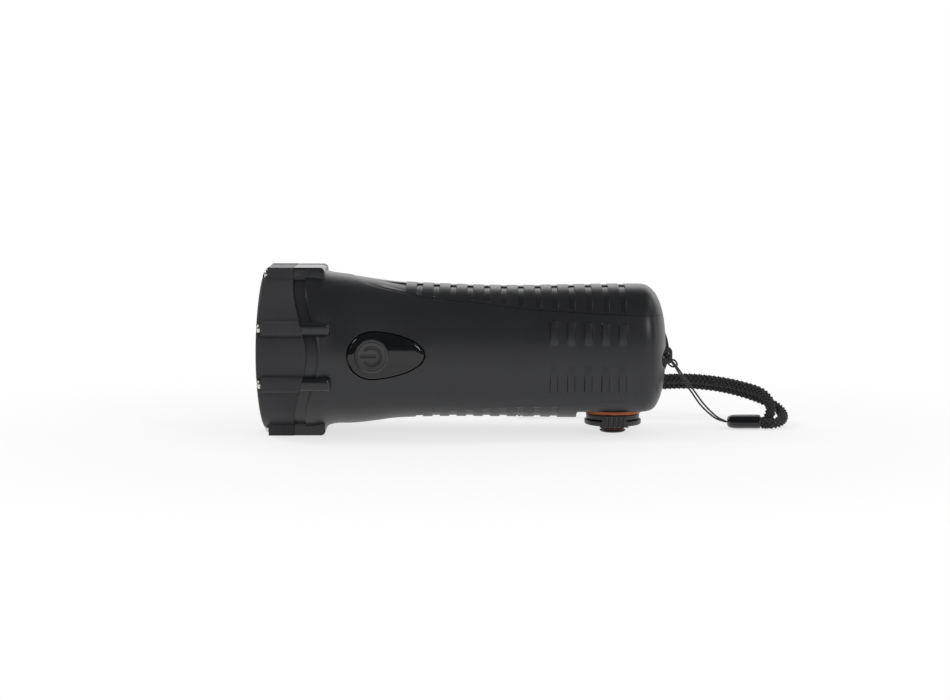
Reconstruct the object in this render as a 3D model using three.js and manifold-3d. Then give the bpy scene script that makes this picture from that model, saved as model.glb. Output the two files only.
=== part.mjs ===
// Hand crank flashlight, laid on its underside, with the crank folded flat below the tail.
// Millimetres, +Z up. X runs along the torch from the lens at -X to the tail at +X.
// The origin is below the middle of the torch, on the surface that it lies on.
import * as THREE from "three";
import * as BufferGeometryUtils from "three/addons/utils/BufferGeometryUtils.js";
import Module from "manifold-3d";

const wasm = await Module();
wasm.setup();

// Driving sizes of the whole torch
const halfLength = 87.8;
const headRadius = 34.4;
const ribProud = 1.3; // how far the screw ribs' flat faces stand out of the head
const wall = 2.2;
const gap = 0.3; // between neighbouring pieces
const overrun = 1.5; // how far a cutting tool runs past what it cuts
const headReach = headRadius + ribProud;
const axisZ = headReach;
const frontX = -halfLength;

// Facets round the smallest pieces, up to the largest
const least = 8;
const few = 12;
const some = 20;
const many = 32;
const hexSides = 6;
const skinRing = 20;
const cavityRing = 16;

// Head: places along X are counted back from the front, radii in from the head's outside
const bezel = {
  crown: 1.4, // the front rim falls back this much towards top and bottom
  edge: 1.3, // round on the outer front edge
  lip: 2.2,
  rim: 5.1,
  wall: 3.2,
};
const seam = {
  back: 14.4, // at top and bottom
  rise: 6.5, // how much further back it lies at the sides
  shape: 2.4,
  band: 5.0, // darker sunk band behind the seam
  bandDepth: 0.8,
};
const rib = {
  offset: 11.6, // from the centre plane to the middle of a rib
  width: 6.4,
  rearWidth: 5.2,
  root: 6.4, // the rib starts inside the wall
  edge: 0.7,
  front: 2.2,
  rear: 28.1, // rear end of the ribs at top and bottom
  sideRear: 31.6, // rear end of the ribs at the sides
  rearRound: 2.0,
};
const screw = {
  inset: 3.0, // from a rib's flat face in to the middle of the screw
  headRadius: 1.9,
  headHeight: 1.3,
  shankRadius: 1.1,
  length: 22.0,
  bore: 1.4,
  notchRadius: 2.5,
};
const lens = { thickness: 2.2 };
const gasket = { width: 1.9, thickness: 1.6 };
const reflector = {
  flange: 1.6,
  depth: 15.4,
  pitchShare: 0.4725, // from the axis to the middle of a cup, of the reflector's radius
  mouthShare: 0.3755,
  throat: 3.1,
  wall: 1.1,
  cups: 3,
};
const led = { radius: 2.5, flangeRadius: 2.9, flange: 0.9, height: 5.6 };
const board = { thickness: 1.6, margin: 3.0, shelf: 2.0, shelfWidth: 7.7 };

// Housing and covers: front counts back from the front, tail counts forward from the tail
const cover = { land: 1.0, grooveDepth: 0.9, grooveWidth: 2.5 };
const topGrooves = { front: 67.6, tail: 22.4, count: 13, wideFront: 49.7, wideWidth: 12.0 };
const underGrooves = { front: 67.3, beforeStep: 7.3, width: 3.0, depth: 0.5, count: 9 };
const bar = {
  tail: 51.5,
  pitch: 7.18,
  width: 3.4,
  high: 15.1,
  low: 4.5,
  proud: 0.8,
  lower: 0.7,
  count: 5,
};
const recess = { tail: 43.8, stepRound: 1.0, planeZ: 10.1 };
const pole = { tail: 3.3 };

// Power switch on the near side
const teardrop = {
  front: 48.0, // to the middle of the button
  halfHeight: 10.2,
  fore: 10.8, // from the button's middle to the blunt end
  aft: 22.0,
  foreCurve: 1.85,
  aftCurve: 1.7,
  steps: 7,
  proud: 0.9,
  flange: 1.3,
  flangeThick: 1.2,
};
const button = {
  radius: 6.0,
  clearance: 0.35,
  proud: 0.5,
  flangeRadius: 7.4,
  flange: 0.8,
  travel: 1.2,
  collar: 7.3,
};
const circuit = {
  front: 30.3,
  length: 42.5,
  halfHeight: 13.0,
  thickness: 1.6,
  postRadius: 2.0,
  postInset: 3.2,
};
const tact = { half: 5.0, thickness: 1.7, actuatorRadius: 1.7, actuator: 0.4 };
const battery = {
  radius: 8.0,
  front: 32.3,
  length: 20.0,
  clear: 2.0, // from the housing's inside
  angle: 53, // below the middle, on the far side
  saddle: 2.0,
  sleeveRound: 0.8,
  cells: 3,
};

// Crank and gear train
const crank = { tail: 25.4 };
const hub = {
  flangeRadius: 11.4,
  flangeLowZ: 6.0,
  flangeHighZ: 8.2,
  cupBore: 9.4,
  cupRadius: 10.7,
  ceilingZ: 15.8,
  topZ: 17.2,
  shaftRadius: 2.0,
  hexRadius: 3.6,
};
const ring = { radius: 12.2, bore: 11.1, lowZ: 8.5 };
const arm = {
  radius: 12.15,
  lowZ: 3.5,
  highZ: 5.7,
  round: 0.8,
  tabWidth: 10.3,
  tabThick: 1.8,
  tabHighZ: 8.2,
  tabRibs: 5,
  tabRibRadius: 0.45,
};
const hinge = { reach: 13.2, z: 2.7, radius: 2.0, pinRadius: 0.8, knuckle: 6.2, ear: 3.0, flat: 2.6 };
const knob = {
  radius: 4.4,
  lowZ: 6.0,
  highZ: 15.2,
  bore: 2.3,
  headBore: 3.5,
  headDepth: 1.3,
  flutes: 10,
  flute: 0.35,
};
const axle = { radius: 2.0, headRadius: 3.2, headHeight: 0.8 };
const cap = {
  radius: 5.6,
  highZ: 3.2,
  round: 0.8,
  ringLowZ: 1.2,
  ringHighZ: 1.9,
  ringDepth: 0.7,
  floor: 0.9,
};
const stage1 = { module: 0.8, wheel: 38, pinion: 12, lowZ: 17.5, face: 3.0, angle: 160 };
const stage2 = { module: 0.6, wheel: 33, pinion: 12, lowZ: 21.2, face: 2.0, angle: 225 };
const stage3 = { module: 0.6, wheel: 28, pinion: 12, lowZ: 23.9, face: 2.0, angle: 180 };
const tooth = { pressure: 20, addendum: 0.8, dedendum: 1.25, backlash: 0.12 };
const pin = { radius: 1.0, bore: 1.3, boss: 2.8 };
const plate = { lowZ: 26.6, thickness: 2.0, margin: 3.2, pillar: 2.6 };
// The gear plate's pillars, from the crank's middle
const pillarOffsets = [
  [-18.4, -14.0],
  [-31.9, 14.5],
  [-51.9, -12.5],
  [-51.4, 9.5],
];
const plateScrew = { headRadius: 2.0, headHeight: 1.2, shankRadius: 1.0, bore: 1.3, length: 8.0 };
const generator = {
  radius: 12.5,
  height: 11.0,
  wall: 1.0,
  coilOuter: 11.2,
  coilInner: 9.2,
  coilHeight: 7.0,
  rotorRadius: 8.7,
  rotorHeight: 6.0,
  capThick: 1.0,
};

// Lanyard: places along X are counted back from the eyelet
const eyelet = {
  tail: 2.6,
  below: 2.7,
  radius: 2.6,
  stretch: 1.25, // the lug is an upright oval, its ends this far above and below the hole
  bore: 1.4,
  thickness: 3.0,
  scoop: 5.2,
  scoopWidth: 18.0,
};
const fin = { thickness: 1.2, above: 9.8, below: 11.7, proud: 1.9, foot: 1.1 };
const tailBlock = { depth: 8.1, halfWidth: 8.0, halfHeight: 7.5 };
const cord = { diameter: 0.8, sides: 8, steps: 36 };
const strap = { diameter: 4.8, sides: 10, steps: 34 };
const ferrule = {
  nose: 27.6,
  length: 14.0,
  y: 9.5,
  z: 3.1,
  halfHeight: 3.0,
  halfWidth: 5.3,
  noseShare: 0.45,
};
// The thin cord runs from the ferrule through the eyelet and back: behind the eyelet,
// across, and height as a share of the eyelet's.
const cordRoute = [
  [27.2, 8.8, 0.091],
  [22.9, 7.3, 0.136],
  [19.2, 6.2, 0.218],
  [15.4, 5.4, 0.333],
  [11.7, 4.8, 0.491],
  [8, 4.2, 0.648],
  [4.5, 3.5, 0.824],
  [1.9, 2.9, 0.94],
  [0.5, 2.2, 0.985],
  [0, 1, 1],
  [0, -1, 1],
  [0.5, -2.2, 0.985],
  [2.2, -2.6, 0.935],
  [5, -1.3, 0.832],
  [9, 0.9, 0.664],
  [13, 2.9, 0.5],
  [16.8, 5, 0.345],
  [20.2, 7.2, 0.235],
  [23.6, 9, 0.146],
  [27.2, 10.2, 0.091],
];
// The strap leaves the ferrule, arches behind the tail and comes back along the surface:
// behind the eyelet, across, height.
const strapRoute = [
  [42.1, 12.1, 2.6],
  [44.2, 12.2, 2.7],
  [46.6, 14.6, 5.4],
  [47.2, 18.8, 9.8],
  [44.2, 25, 13.6],
  [35.8, 31.5, 16],
  [24.8, 37, 17.6],
  [12.3, 41, 18.2],
  [-0.2, 43.8, 17.3],
  [-13.2, 45.2, 15],
  [-26.2, 45.6, 11.6],
  [-38.2, 45.3, 7.8],
  [-48.7, 44.6, 4.4],
  [-57.7, 45.2, 2.8],
  [-64.2, 49.2, 2.6],
  [-65.6, 55.6, 2.6],
  [-62.2, 61.4, 2.6],
  [-55.2, 64.4, 2.8],
  [-45.2, 64, 4.2],
  [-30.2, 61.5, 7.4],
  [-14.2, 58.6, 11],
  [0.8, 55, 13.6],
  [13.8, 50.5, 14.6],
  [25.8, 45, 14.2],
  [36.8, 38.8, 12.4],
  [46, 31.8, 9.7],
  [51.6, 24, 6.8],
  [52.6, 16.2, 4.4],
  [50.2, 10, 3],
  [46.4, 7, 2.6],
  [42.1, 6.9, 2.6],
];

// Rows of the body's outline: place along the half length, then its height above and depth
const bodyShares = [
  [-0.9, 1.0, 1.0, 1.0, 2.0],
  [-0.729, 1.0, 1.0, 1.0, 2.0],
  [-0.649, 0.956, 0.94, 0.955, 2.03],
  [-0.552, 0.924, 0.913, 0.918, 2.08],
  [-0.454, 0.884, 0.875, 0.876, 2.14],
  [-0.3565, 0.853, 0.847, 0.838, 2.2],
  [-0.2585, 0.838, 0.835, 0.806, 2.27],
  [-0.112, 0.818, 0.823, 0.776, 2.35],
  [0.133, 0.8, 0.82, 0.759, 2.4],
  [0.329, 0.8, 0.824, 0.756, 2.4],
  [0.476, 0.808, 0.834, 0.758, 2.4],
  [0.7175, 0.817, 0.834, 0.76, 2.4],
  [0.82, 0.817, 0.834, 0.757, 2.4],
];
// Rows of the tail's rounding: place along the half length and the share of the section there.
const tailShares = [
  [0.868, 0.985],
  [0.897, 0.945],
  [0.918, 0.86],
  [0.939, 0.62],
  [0.957, 0.32],
];
// Rows of the hollow's rear end, in the same form.
const hollowEndShares = [
  [0.868, 0.97],
  [0.895, 0.9],
  [0.916, 0.74],
];
// Split line of the top cover: place along the half length and height above the axis, as
// shares of the half length and of the head's radius.
const topSeamShares = [
  [-0.6, 0.99],
  [-0.5535, 0.907],
  [-0.428, 0.8],
  [-0.273, 0.718],
  [-0.126, 0.657],
  [0.042, 0.62],
  [0.261, 0.555],
  [0.52, 0.51],
  [0.755, 0.48],
  [0.999, 0.465],
];
// The same for the cover below.
const underSeamShares = [
  [-0.47, 0.95],
  [-0.37, 0.835],
  [-0.2, 0.74],
  [0.114, 0.665],
  [0.35, 0.64],
  [0.478, 0.635],
  [0.62, 0.6],
  [0.8, 0.58],
  [0.999, 0.585],
];

const rad = (degrees) => (degrees * Math.PI) / 180;

// Middle of the next gear, at the centre distance of a stage and the stage's angle
function nextAxle([x, y], stage) {
  const distance = (stage.module * (stage.wheel + stage.pinion)) / 2;
  return [x + distance * Math.cos(rad(stage.angle)), y + distance * Math.sin(rad(stage.angle))];
}

// Places and sizes in the head
const seamX = frontX + seam.back;
const ribFrontX = frontX + rib.front;
const ribRearX = frontX + rib.rear;
const sideRibRearX = frontX + rib.sideRear;
const ribFoot = headRadius - rib.root;
const screwReach = headReach - screw.inset;
const lipBore = headRadius - bezel.rim;
const headBore = headRadius - bezel.wall;
const headFill = headBore - gap;
const gasketBore = headFill - gasket.width;
const cupPitch = headFill * reflector.pitchShare;
const cupMouth = headFill * reflector.mouthShare;
const boardRadius = headBore - board.margin;
const shelfBore = headBore - board.shelfWidth;

// Places along the body
const buttonX = frontX + teardrop.front;
const circuitFrontX = frontX + circuit.front;
const circuitRearX = circuitFrontX + circuit.length;
const batteryFrontX = frontX + battery.front;
const batteryRearX = batteryFrontX + battery.length;
const stepX = halfLength - recess.tail;
const barFirstX = halfLength - bar.tail;
const tailPole = halfLength - pole.tail;
const tailBlockX = tailPole - tailBlock.depth;
const eyeletX = halfLength - eyelet.tail;
const eyeletZ = axisZ - eyelet.below;
const finHighZ = axisZ + fin.above;
const finLowZ = axisZ - fin.below;

// Crank and gears
const crankX = halfLength - crank.tail;
const crankY = 0;
const crankAt = [crankX, crankY];
const idler1 = nextAxle(crankAt, stage1);
const idler2 = nextAxle(idler1, stage2);
const rotorAt = nextAxle(idler2, stage3);
const pillars = pillarOffsets.map(([x, y]) => [crankX + x, crankY + y]);
const pinLowZ = recess.planeZ + wall;
const hollowEndX = hollowEndShares[hollowEndShares.length - 1][0] * halfLength;
const plateHighZ = plate.lowZ + plate.thickness;

// Depths along Y on the near side, at the middle of the button
const sideAt = (x) => through(bodyShares, x / halfLength)[2] * headRadius;
const nearSide = -sideAt(buttonX);
const flangeInset = wall + 3 * gap;
const bezelBackY = nearSide + flangeInset + teardrop.flangeThick;
const buttonBackY = bezelBackY + gap + button.flange;
const actuatorY = buttonBackY + button.travel + gap / 2;
const tactY = actuatorY + tact.actuator;
const circuitY = tactY + tact.thickness + gap;

// The battery pack lies low on the far side
const batteryReach = sideAt(batteryRearX) - wall - battery.clear - battery.radius;
const batteryY = batteryReach * Math.cos(rad(battery.angle));
const batteryZ = axisZ - batteryReach * Math.sin(rad(battery.angle));

const black = new THREE.MeshStandardMaterial({ color: 0x2e2f33, roughness: 0.6, metalness: 0 });
const rubber = new THREE.MeshStandardMaterial({ color: 0x242528, roughness: 0.85, metalness: 0 });
const gloss = new THREE.MeshStandardMaterial({ color: 0x1d1e21, roughness: 0.2, metalness: 0 });
const orange = new THREE.MeshStandardMaterial({ color: 0xc8501c, roughness: 0.5, metalness: 0 });
const steel = new THREE.MeshStandardMaterial({ color: 0xc9c9c6, roughness: 0.3, metalness: 1 });
const chrome = new THREE.MeshStandardMaterial({ color: 0xe4e5e8, roughness: 0.08, metalness: 1 });
const clear = new THREE.MeshStandardMaterial({ color: 0xe8eef2, roughness: 0.05, metalness: 0 });
const nylon = new THREE.MeshStandardMaterial({ color: 0xe6e2d6, roughness: 0.5, metalness: 0 });
const laminate = new THREE.MeshStandardMaterial({ color: 0x1f5a35, roughness: 0.5, metalness: 0 });
const copper = new THREE.MeshStandardMaterial({ color: 0xa8582c, roughness: 0.4, metalness: 1 });
const sleeve = new THREE.MeshStandardMaterial({ color: 0x2f6f9f, roughness: 0.4, metalness: 0 });
const magnet = new THREE.MeshStandardMaterial({ color: 0x3b3b3e, roughness: 0.5, metalness: 1 });
const webbing = new THREE.MeshStandardMaterial({ color: 0x1b1b1e, roughness: 0.9, metalness: 0 });

const torch = new THREE.Group();

// Solids and meshes

function solidOf(geometry) {
  const bare = geometry.clone();
  bare.deleteAttribute("normal");
  bare.deleteAttribute("uv");
  const merged = BufferGeometryUtils.mergeVertices(bare);
  return new wasm.Manifold(
    new wasm.Mesh({
      numProp: 3,
      vertProperties: new Float32Array(merged.attributes.position.array),
      triVerts: new Uint32Array(merged.index.array),
    }),
  );
}

function geometryOf(solid) {
  const mesh = solid.getMesh();
  const geometry = new THREE.BufferGeometry();
  geometry.setAttribute("position", new THREE.BufferAttribute(new Float32Array(mesh.vertProperties), 3));
  geometry.setIndex(new THREE.BufferAttribute(new Uint32Array(mesh.triVerts), 1));
  geometry.computeVertexNormals();
  return geometry;
}

function place(name, solid, material, parent = torch) {
  const mesh = new THREE.Mesh(geometryOf(solid), material);
  mesh.name = name;
  parent.add(mesh);
  return mesh;
}

function joined(solids) {
  return solids.reduce((whole, solid) => whole.add(solid));
}

function box(lowX, highX, lowY, highY, lowZ, highZ) {
  const geometry = new THREE.BoxGeometry(highX - lowX, highY - lowY, highZ - lowZ);
  geometry.translate((lowX + highX) / 2, (lowY + highY) / 2, (lowZ + highZ) / 2);
  return solidOf(geometry);
}

function extruded(shape, depth, curveSegments) {
  return new THREE.ExtrudeGeometry(shape, { depth, curveSegments, bevelEnabled: false });
}

// An outline drawn in X and Z, carried along Y
function alongY(shape, lowY, highY, curveSegments = 8) {
  const geometry = extruded(shape, highY - lowY, curveSegments);
  geometry.rotateX(Math.PI / 2);
  geometry.translate(0, highY, 0);
  return solidOf(geometry);
}

// An outline drawn in Y and Z, carried along X
function alongX(shape, lowX, highX, curveSegments = 8) {
  const geometry = extruded(shape, highX - lowX, curveSegments);
  const turn = new THREE.Matrix4().makeBasis(
    new THREE.Vector3(0, 1, 0),
    new THREE.Vector3(0, 0, 1),
    new THREE.Vector3(1, 0, 0),
  );
  geometry.applyMatrix4(turn);
  geometry.translate(lowX, 0, 0);
  return solidOf(geometry);
}

// An outline drawn in X and Y, carried along Z
function alongZ(shape, lowZ, highZ, curveSegments = 8) {
  const geometry = extruded(shape, highZ - lowZ, curveSegments);
  geometry.translate(0, 0, lowZ);
  return solidOf(geometry);
}

// A profile of radius and height turned about an upright axis, listed upwards on its outside
function turned(profile, sides, x = 0, y = 0) {
  const points = profile.map(([radius, height]) => new THREE.Vector2(radius, height));
  const geometry = new THREE.LatheGeometry(points, sides);
  geometry.rotateX(Math.PI / 2);
  geometry.translate(x, y, 0);
  return solidOf(geometry);
}

// A profile of radius and place along X turned about a line parallel to X
function turnedX(profile, sides, y = 0, z = axisZ) {
  const points = profile.map(([radius, at]) => new THREE.Vector2(radius, at));
  const geometry = new THREE.LatheGeometry(points, sides);
  geometry.rotateZ(-Math.PI / 2);
  geometry.translate(0, y, z);
  return solidOf(geometry);
}

// The same about a line parallel to Y
function turnedY(profile, sides, x, z) {
  const points = profile.map(([radius, at]) => new THREE.Vector2(radius, at));
  const geometry = new THREE.LatheGeometry(points, sides);
  geometry.translate(x, 0, z);
  return solidOf(geometry);
}

function post(radius, low, high) {
  return [
    [0, low],
    [radius, low],
    [radius, high],
    [0, high],
  ];
}

function tube(outer, inner, low, high) {
  return [
    [inner, low],
    [outer, low],
    [outer, high],
    [inner, high],
    [inner, low],
  ];
}

// Smooth curve through rows of shares: the values at a place along the first column
function through(rows, at) {
  let i = rows.findIndex((row) => row[0] >= at);
  if (i < 0) i = rows.length - 1;
  if (i === 0) i = 1;
  const [a, b] = [rows[i - 1], rows[i]];
  const [before, after] = [rows[Math.max(i - 2, 0)], rows[Math.min(i + 1, rows.length - 1)]];
  const span = b[0] - a[0];
  const u = (at - a[0]) / span;
  return a.slice(1).map((value, k) => {
    const slopeA = ((b[k + 1] - before[k + 1]) / (b[0] - before[0])) * span;
    const slopeB = ((after[k + 1] - value) / (after[0] - a[0])) * span;
    const [u2, u3] = [u * u, u * u * u];
    const fromA = value * (2 * u3 - 3 * u2 + 1) + slopeA * (u3 - 2 * u2 + u);
    return fromA + b[k + 1] * (3 * u2 - 2 * u3) + slopeB * (u3 - u2);
  });
}

// The body's outer skin

// Height above, depth below, half width and squareness of the body at a place along X
function sectionAt(x) {
  const [up, down, side, power] = through(bodyShares, x / halfLength);
  return { up: up * headRadius, down: down * headRadius, side: side * headRadius, power };
}

// One ring of the skin, drawn in by an inset and shrunk by a share
function skinRingPoints(x, inset, share, sides) {
  const { up, down, side, power } = sectionAt(x);
  const points = [];
  for (let k = 0; k < sides; k += 1) {
    const turn = (2 * Math.PI * k) / sides;
    const [c, s] = [Math.cos(turn), Math.sin(turn)];
    const y = Math.sign(c) * Math.abs(c) ** (2 / power) * (side - inset) * share;
    const high = ((s > 0 ? up : down) - inset) * share;
    const z = axisZ + Math.sign(s) * Math.abs(s) ** (2 / power) * high;
    points.push(new THREE.Vector3(x, y, z));
  }
  return points;
}

// A closed body through rings of equal count; a null pole leaves that end flat
function loft(rings, pole) {
  const sides = rings[0].length;
  const positions = rings.flat().flatMap((p) => [p.x, p.y, p.z]);
  const index = [];
  rings.slice(1).forEach((_, r) => {
    for (let k = 0; k < sides; k += 1) {
      const next = (k + 1) % sides;
      const [a, b] = [r * sides + k, r * sides + next];
      index.push(a, b, a + sides, b, b + sides, a + sides);
    }
  });
  const last = (rings.length - 1) * sides;
  const centre = (ring) => ring.reduce((sum, p) => sum.add(p), new THREE.Vector3()).divideScalar(sides);
  const first = centre(rings[0]);
  const end = pole ?? centre(rings[rings.length - 1]);
  const poleIndex = rings.length * sides;
  positions.push(first.x, first.y, first.z, end.x, end.y, end.z);
  for (let k = 0; k < sides; k += 1) {
    const next = (k + 1) % sides;
    index.push(poleIndex, next, k);
    index.push(poleIndex + 1, last + k, last + next);
  }
  const geometry = new THREE.BufferGeometry();
  geometry.setAttribute("position", new THREE.BufferAttribute(new Float32Array(positions), 3));
  geometry.setIndex(index);
  return solidOf(geometry);
}

// The whole outside of the body, drawn in by an inset, closed by the domed tail
function skin(inset) {
  const rings = bodyShares.map(([at]) => skinRingPoints(at * halfLength, inset, 1, skinRing));
  tailShares.forEach(([at, share]) => {
    rings.push(skinRingPoints(at * halfLength - inset, inset, share, skinRing));
  });
  return loft(rings, new THREE.Vector3(tailPole - inset, 0, axisZ));
}

// The hollow inside the body, with a flat rear end
function cavity() {
  const rings = [skinRingPoints(bodyShares[0][0] * halfLength - overrun, wall, 1, cavityRing)];
  const rows = bodyShares.filter((_, i) => i > 0 && i % 2 === 0);
  rows.forEach(([at]) => rings.push(skinRingPoints(at * halfLength, wall, 1, cavityRing)));
  hollowEndShares.forEach(([at, share]) => {
    rings.push(skinRingPoints(at * halfLength, wall, share, cavityRing));
  });
  return loft(rings, null);
}

// Split lines, drawn in X and Z and carried across the body

function seamRow(shares, sign, offset) {
  const row = [];
  const steps = shares.length;
  const [from, to] = [shares[0][0], shares[shares.length - 1][0]];
  for (let i = 0; i <= steps; i += 1) {
    const at = from + ((to - from) * i) / steps;
    row.push([at * halfLength, axisZ + sign * (through(shares, at)[0] * headRadius + offset)]);
  }
  return row;
}

// All that lies beyond a split line, above it for sign 1 and below it for sign -1
function beyondSeam(shares, sign, offset) {
  const far = axisZ + sign * (headReach + overrun);
  const row = seamRow(shares, sign, offset);
  const [first, last] = [row[0], row[row.length - 1]];
  const outline = new THREE.Shape();
  outline.moveTo(first[0] - overrun, far);
  outline.lineTo(first[0] - overrun, first[1] + sign * overrun);
  row.forEach(([x, z]) => outline.lineTo(x, z));
  outline.lineTo(last[0] + overrun, last[1]);
  outline.lineTo(last[0] + overrun, far);
  return alongY(outline, -headReach - overrun, headReach + overrun);
}

const aboveSeam = (offset) => beyondSeam(topSeamShares, 1, offset);
const belowSeam = (offset) => beyondSeam(underSeamShares, -1, offset);

// The seam behind the bezel: place along X at a height from the axis
function bezelSeamX(height) {
  const share = Math.min(Math.abs(height) / headRadius, 1);
  return seamX + seam.rise * Math.max(0, Math.cos((Math.PI / 2) * share)) ** seam.shape;
}

// All that lies in front of the bezel seam, moved back by an offset
function beforeSeam(offset) {
  const outline = new THREE.Shape();
  const reach = headReach + overrun;
  const steps = skinRing / 2;
  outline.moveTo(-halfLength - overrun, axisZ - reach);
  for (let i = 0; i <= steps; i += 1) {
    const height = -reach + (2 * reach * i) / steps;
    outline.lineTo(bezelSeamX(height) + offset, axisZ + height);
  }
  outline.lineTo(-halfLength - overrun, axisZ + reach);
  return alongY(outline, -reach, reach);
}

// Head

// The four ribs pairs: a quarter turn apart, two ribs to a pair
const ribPlaces = [0, 1, 2, 3].flatMap((quarter) =>
  [-1, 1].map((side) => ({
    turn: (quarter * Math.PI) / 2,
    across: side * rib.offset,
    upright: quarter % 2 === 0,
    back: quarter % 2 === 0 ? bezel.crown : 0, // the front rim falls back at top and bottom
  })),
);

// A solid made for the pair on top, turned about the torch's axis to its quarter
function aboutAxis(solid, turn) {
  const geometry = geometryOf(solid);
  geometry.translate(0, 0, -axisZ);
  geometry.rotateX(turn);
  geometry.translate(0, 0, axisZ);
  return solidOf(geometry);
}

// One rib with bevelled long edges, from its foot in the wall out to its flat face
function ribBar(across, width, fromX, toX) {
  const outline = new THREE.Shape();
  const [half, edge] = [width / 2, rib.edge];
  outline.moveTo(across - half, axisZ + ribFoot);
  outline.lineTo(across + half, axisZ + ribFoot);
  outline.lineTo(across + half, axisZ + headReach - edge);
  outline.lineTo(across + half - edge, axisZ + headReach);
  outline.lineTo(across - half + edge, axisZ + headReach);
  outline.lineTo(across - half, axisZ + headReach - edge);
  return alongX(outline, fromX, toX);
}

function screwHoles(fromX, toX, radius) {
  return ribPlaces.map(({ turn, across, back }) => {
    const hole = post(radius, fromX + back, toX + back);
    return aboutAxis(turnedX(hole, least, across, axisZ + screwReach), turn);
  });
}

function makeBezel() {
  const outside = [
    [0, frontX],
    [headRadius - bezel.edge, frontX],
    [headRadius - bezel.edge / 3, frontX + bezel.edge / 3],
    [headRadius, frontX + bezel.edge],
    [headRadius, seamX + seam.rise],
    [0, seamX + seam.rise],
  ];
  const ribs = ribPlaces.map(({ turn, across, back }) =>
    aboutAxis(ribBar(across, rib.width, ribFrontX + back, seamX + seam.rise), turn),
  );
  const front = new THREE.Shape();
  front.moveTo(frontX - overrun, axisZ - headReach);
  front.lineTo(frontX + bezel.crown, axisZ - headReach);
  front.quadraticCurveTo(frontX - bezel.crown, axisZ, frontX + bezel.crown, axisZ + headReach);
  front.lineTo(frontX - overrun, axisZ + headReach);
  const inside = [
    [0, frontX - overrun],
    [lipBore, frontX - overrun],
    [lipBore, frontX + bezel.lip],
    [headBore, frontX + bezel.lip],
    [headBore, seamX + seam.rise + overrun],
    [0, seamX + seam.rise + overrun],
  ];
  const notches = screwHoles(frontX - overrun, ribFrontX, screw.notchRadius);
  const holes = screwHoles(ribFrontX - overrun, seamX + seam.rise + overrun, screw.bore);
  const solid = joined([turnedX(outside, many), ...ribs])
    .intersect(beforeSeam(0))
    .subtract(alongY(front, -headReach - overrun, headReach + overrun, 10))
    .subtract(turnedX(inside, many))
    .subtract(joined(notches))
    .subtract(joined(holes));
  place("bezel", solid, black);
}

// A pan head screw, its head against the front of its rib
function makeBezelScrews() {
  ribPlaces.forEach(({ turn, across, back }, i) => {
    const seat = ribFrontX + back - gap;
    const profile = [
      [0, seat - screw.headHeight],
      [screw.headRadius / 2, seat - screw.headHeight],
      [screw.headRadius, seat - screw.headHeight / 2],
      [screw.headRadius, seat],
      [screw.shankRadius, seat],
      [screw.shankRadius, seat + screw.length],
      [0, seat + screw.length],
    ];
    const solid = aboutAxis(turnedX(profile, least, across, axisZ + screwReach), turn);
    place(`bezel_screw_${i + 1}`, solid, steel);
  });
}

const lensX = frontX + bezel.lip + gap;
const gasketX = lensX + lens.thickness + gap;
const reflectorX = gasketX + gasket.thickness + gap;
const ledBoardX = reflectorX + reflector.flange + reflector.depth + gap;
const shelfX = ledBoardX + board.thickness + gap;
const cupPlaces = Array.from({ length: reflector.cups }, (_, k) => {
  const turn = Math.PI / 2 + (2 * Math.PI * k) / reflector.cups;
  return [Math.cos(turn) * cupPitch, axisZ + Math.sin(turn) * cupPitch];
});

function makeLensAndGasket() {
  const edge = lens.thickness / 5;
  const lensProfile = [
    [0, lensX],
    [headFill - edge, lensX],
    [headFill, lensX + edge],
    [headFill, lensX + lens.thickness],
    [0, lensX + lens.thickness],
  ];
  place("lens", turnedX(lensProfile, many), clear);
  const round = gasket.thickness / 3;
  const gasketProfile = [
    [gasketBore, gasketX],
    [headFill - round, gasketX],
    [headFill, gasketX + round],
    [headFill, gasketX + gasket.thickness],
    [gasketBore, gasketX + gasket.thickness],
    [gasketBore, gasketX],
  ];
  place("lens_gasket", turnedX(gasketProfile, some), rubber);
}

// Radius of a cup, a parabola from its throat to its mouth, at a share of its depth
function cupRadius(share) {
  return reflector.throat + (cupMouth - reflector.throat) * Math.sqrt(1 - share);
}

function makeReflector() {
  const flangeEnd = reflectorX + reflector.flange;
  const rear = flangeEnd + reflector.depth;
  const plateProfile = post(headFill, reflectorX, flangeEnd);
  const depth = rear - reflectorX;
  const shares = [0, 0.3, 0.6, 0.85, 1];
  const outer = shares.map((s) => [cupRadius(s) + reflector.wall, reflectorX + s * depth]);
  const inner = shares.map((s) => [cupRadius(s), reflectorX + s * depth]);
  const cups = cupPlaces.map(([y, z]) => turnedX([[0, reflectorX], ...outer, [0, rear]], few, y, z));
  const hollows = cupPlaces.map(([y, z]) => {
    const profile = [[0, reflectorX - overrun], [cupMouth, reflectorX - overrun], ...inner];
    return turnedX([...profile, [reflector.throat, rear + overrun], [0, rear + overrun]], few, y, z);
  });
  const solid = joined([turnedX(plateProfile, some), ...cups]).subtract(joined(hollows));
  place("reflector", solid, chrome);
}

function makeLeds() {
  cupPlaces.forEach(([y, z], i) => {
    const base = ledBoardX - gap;
    const top = base - led.height;
    const profile = [
      [0, top],
      [led.radius / 2, top + led.radius / 7],
      [led.radius * 0.87, top + led.radius / 2],
      [led.radius, top + led.radius],
      [led.radius, base - led.flange],
      [led.flangeRadius, base - led.flange],
      [led.flangeRadius, base],
      [0, base],
    ];
    place(`led_${i + 1}`, turnedX(profile, few, y, z), clear);
  });
}

function makeLedBoard() {
  const disc = turnedX(post(boardRadius, ledBoardX, ledBoardX + board.thickness), some);
  place("led_board", disc, laminate);
}

// Body

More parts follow.
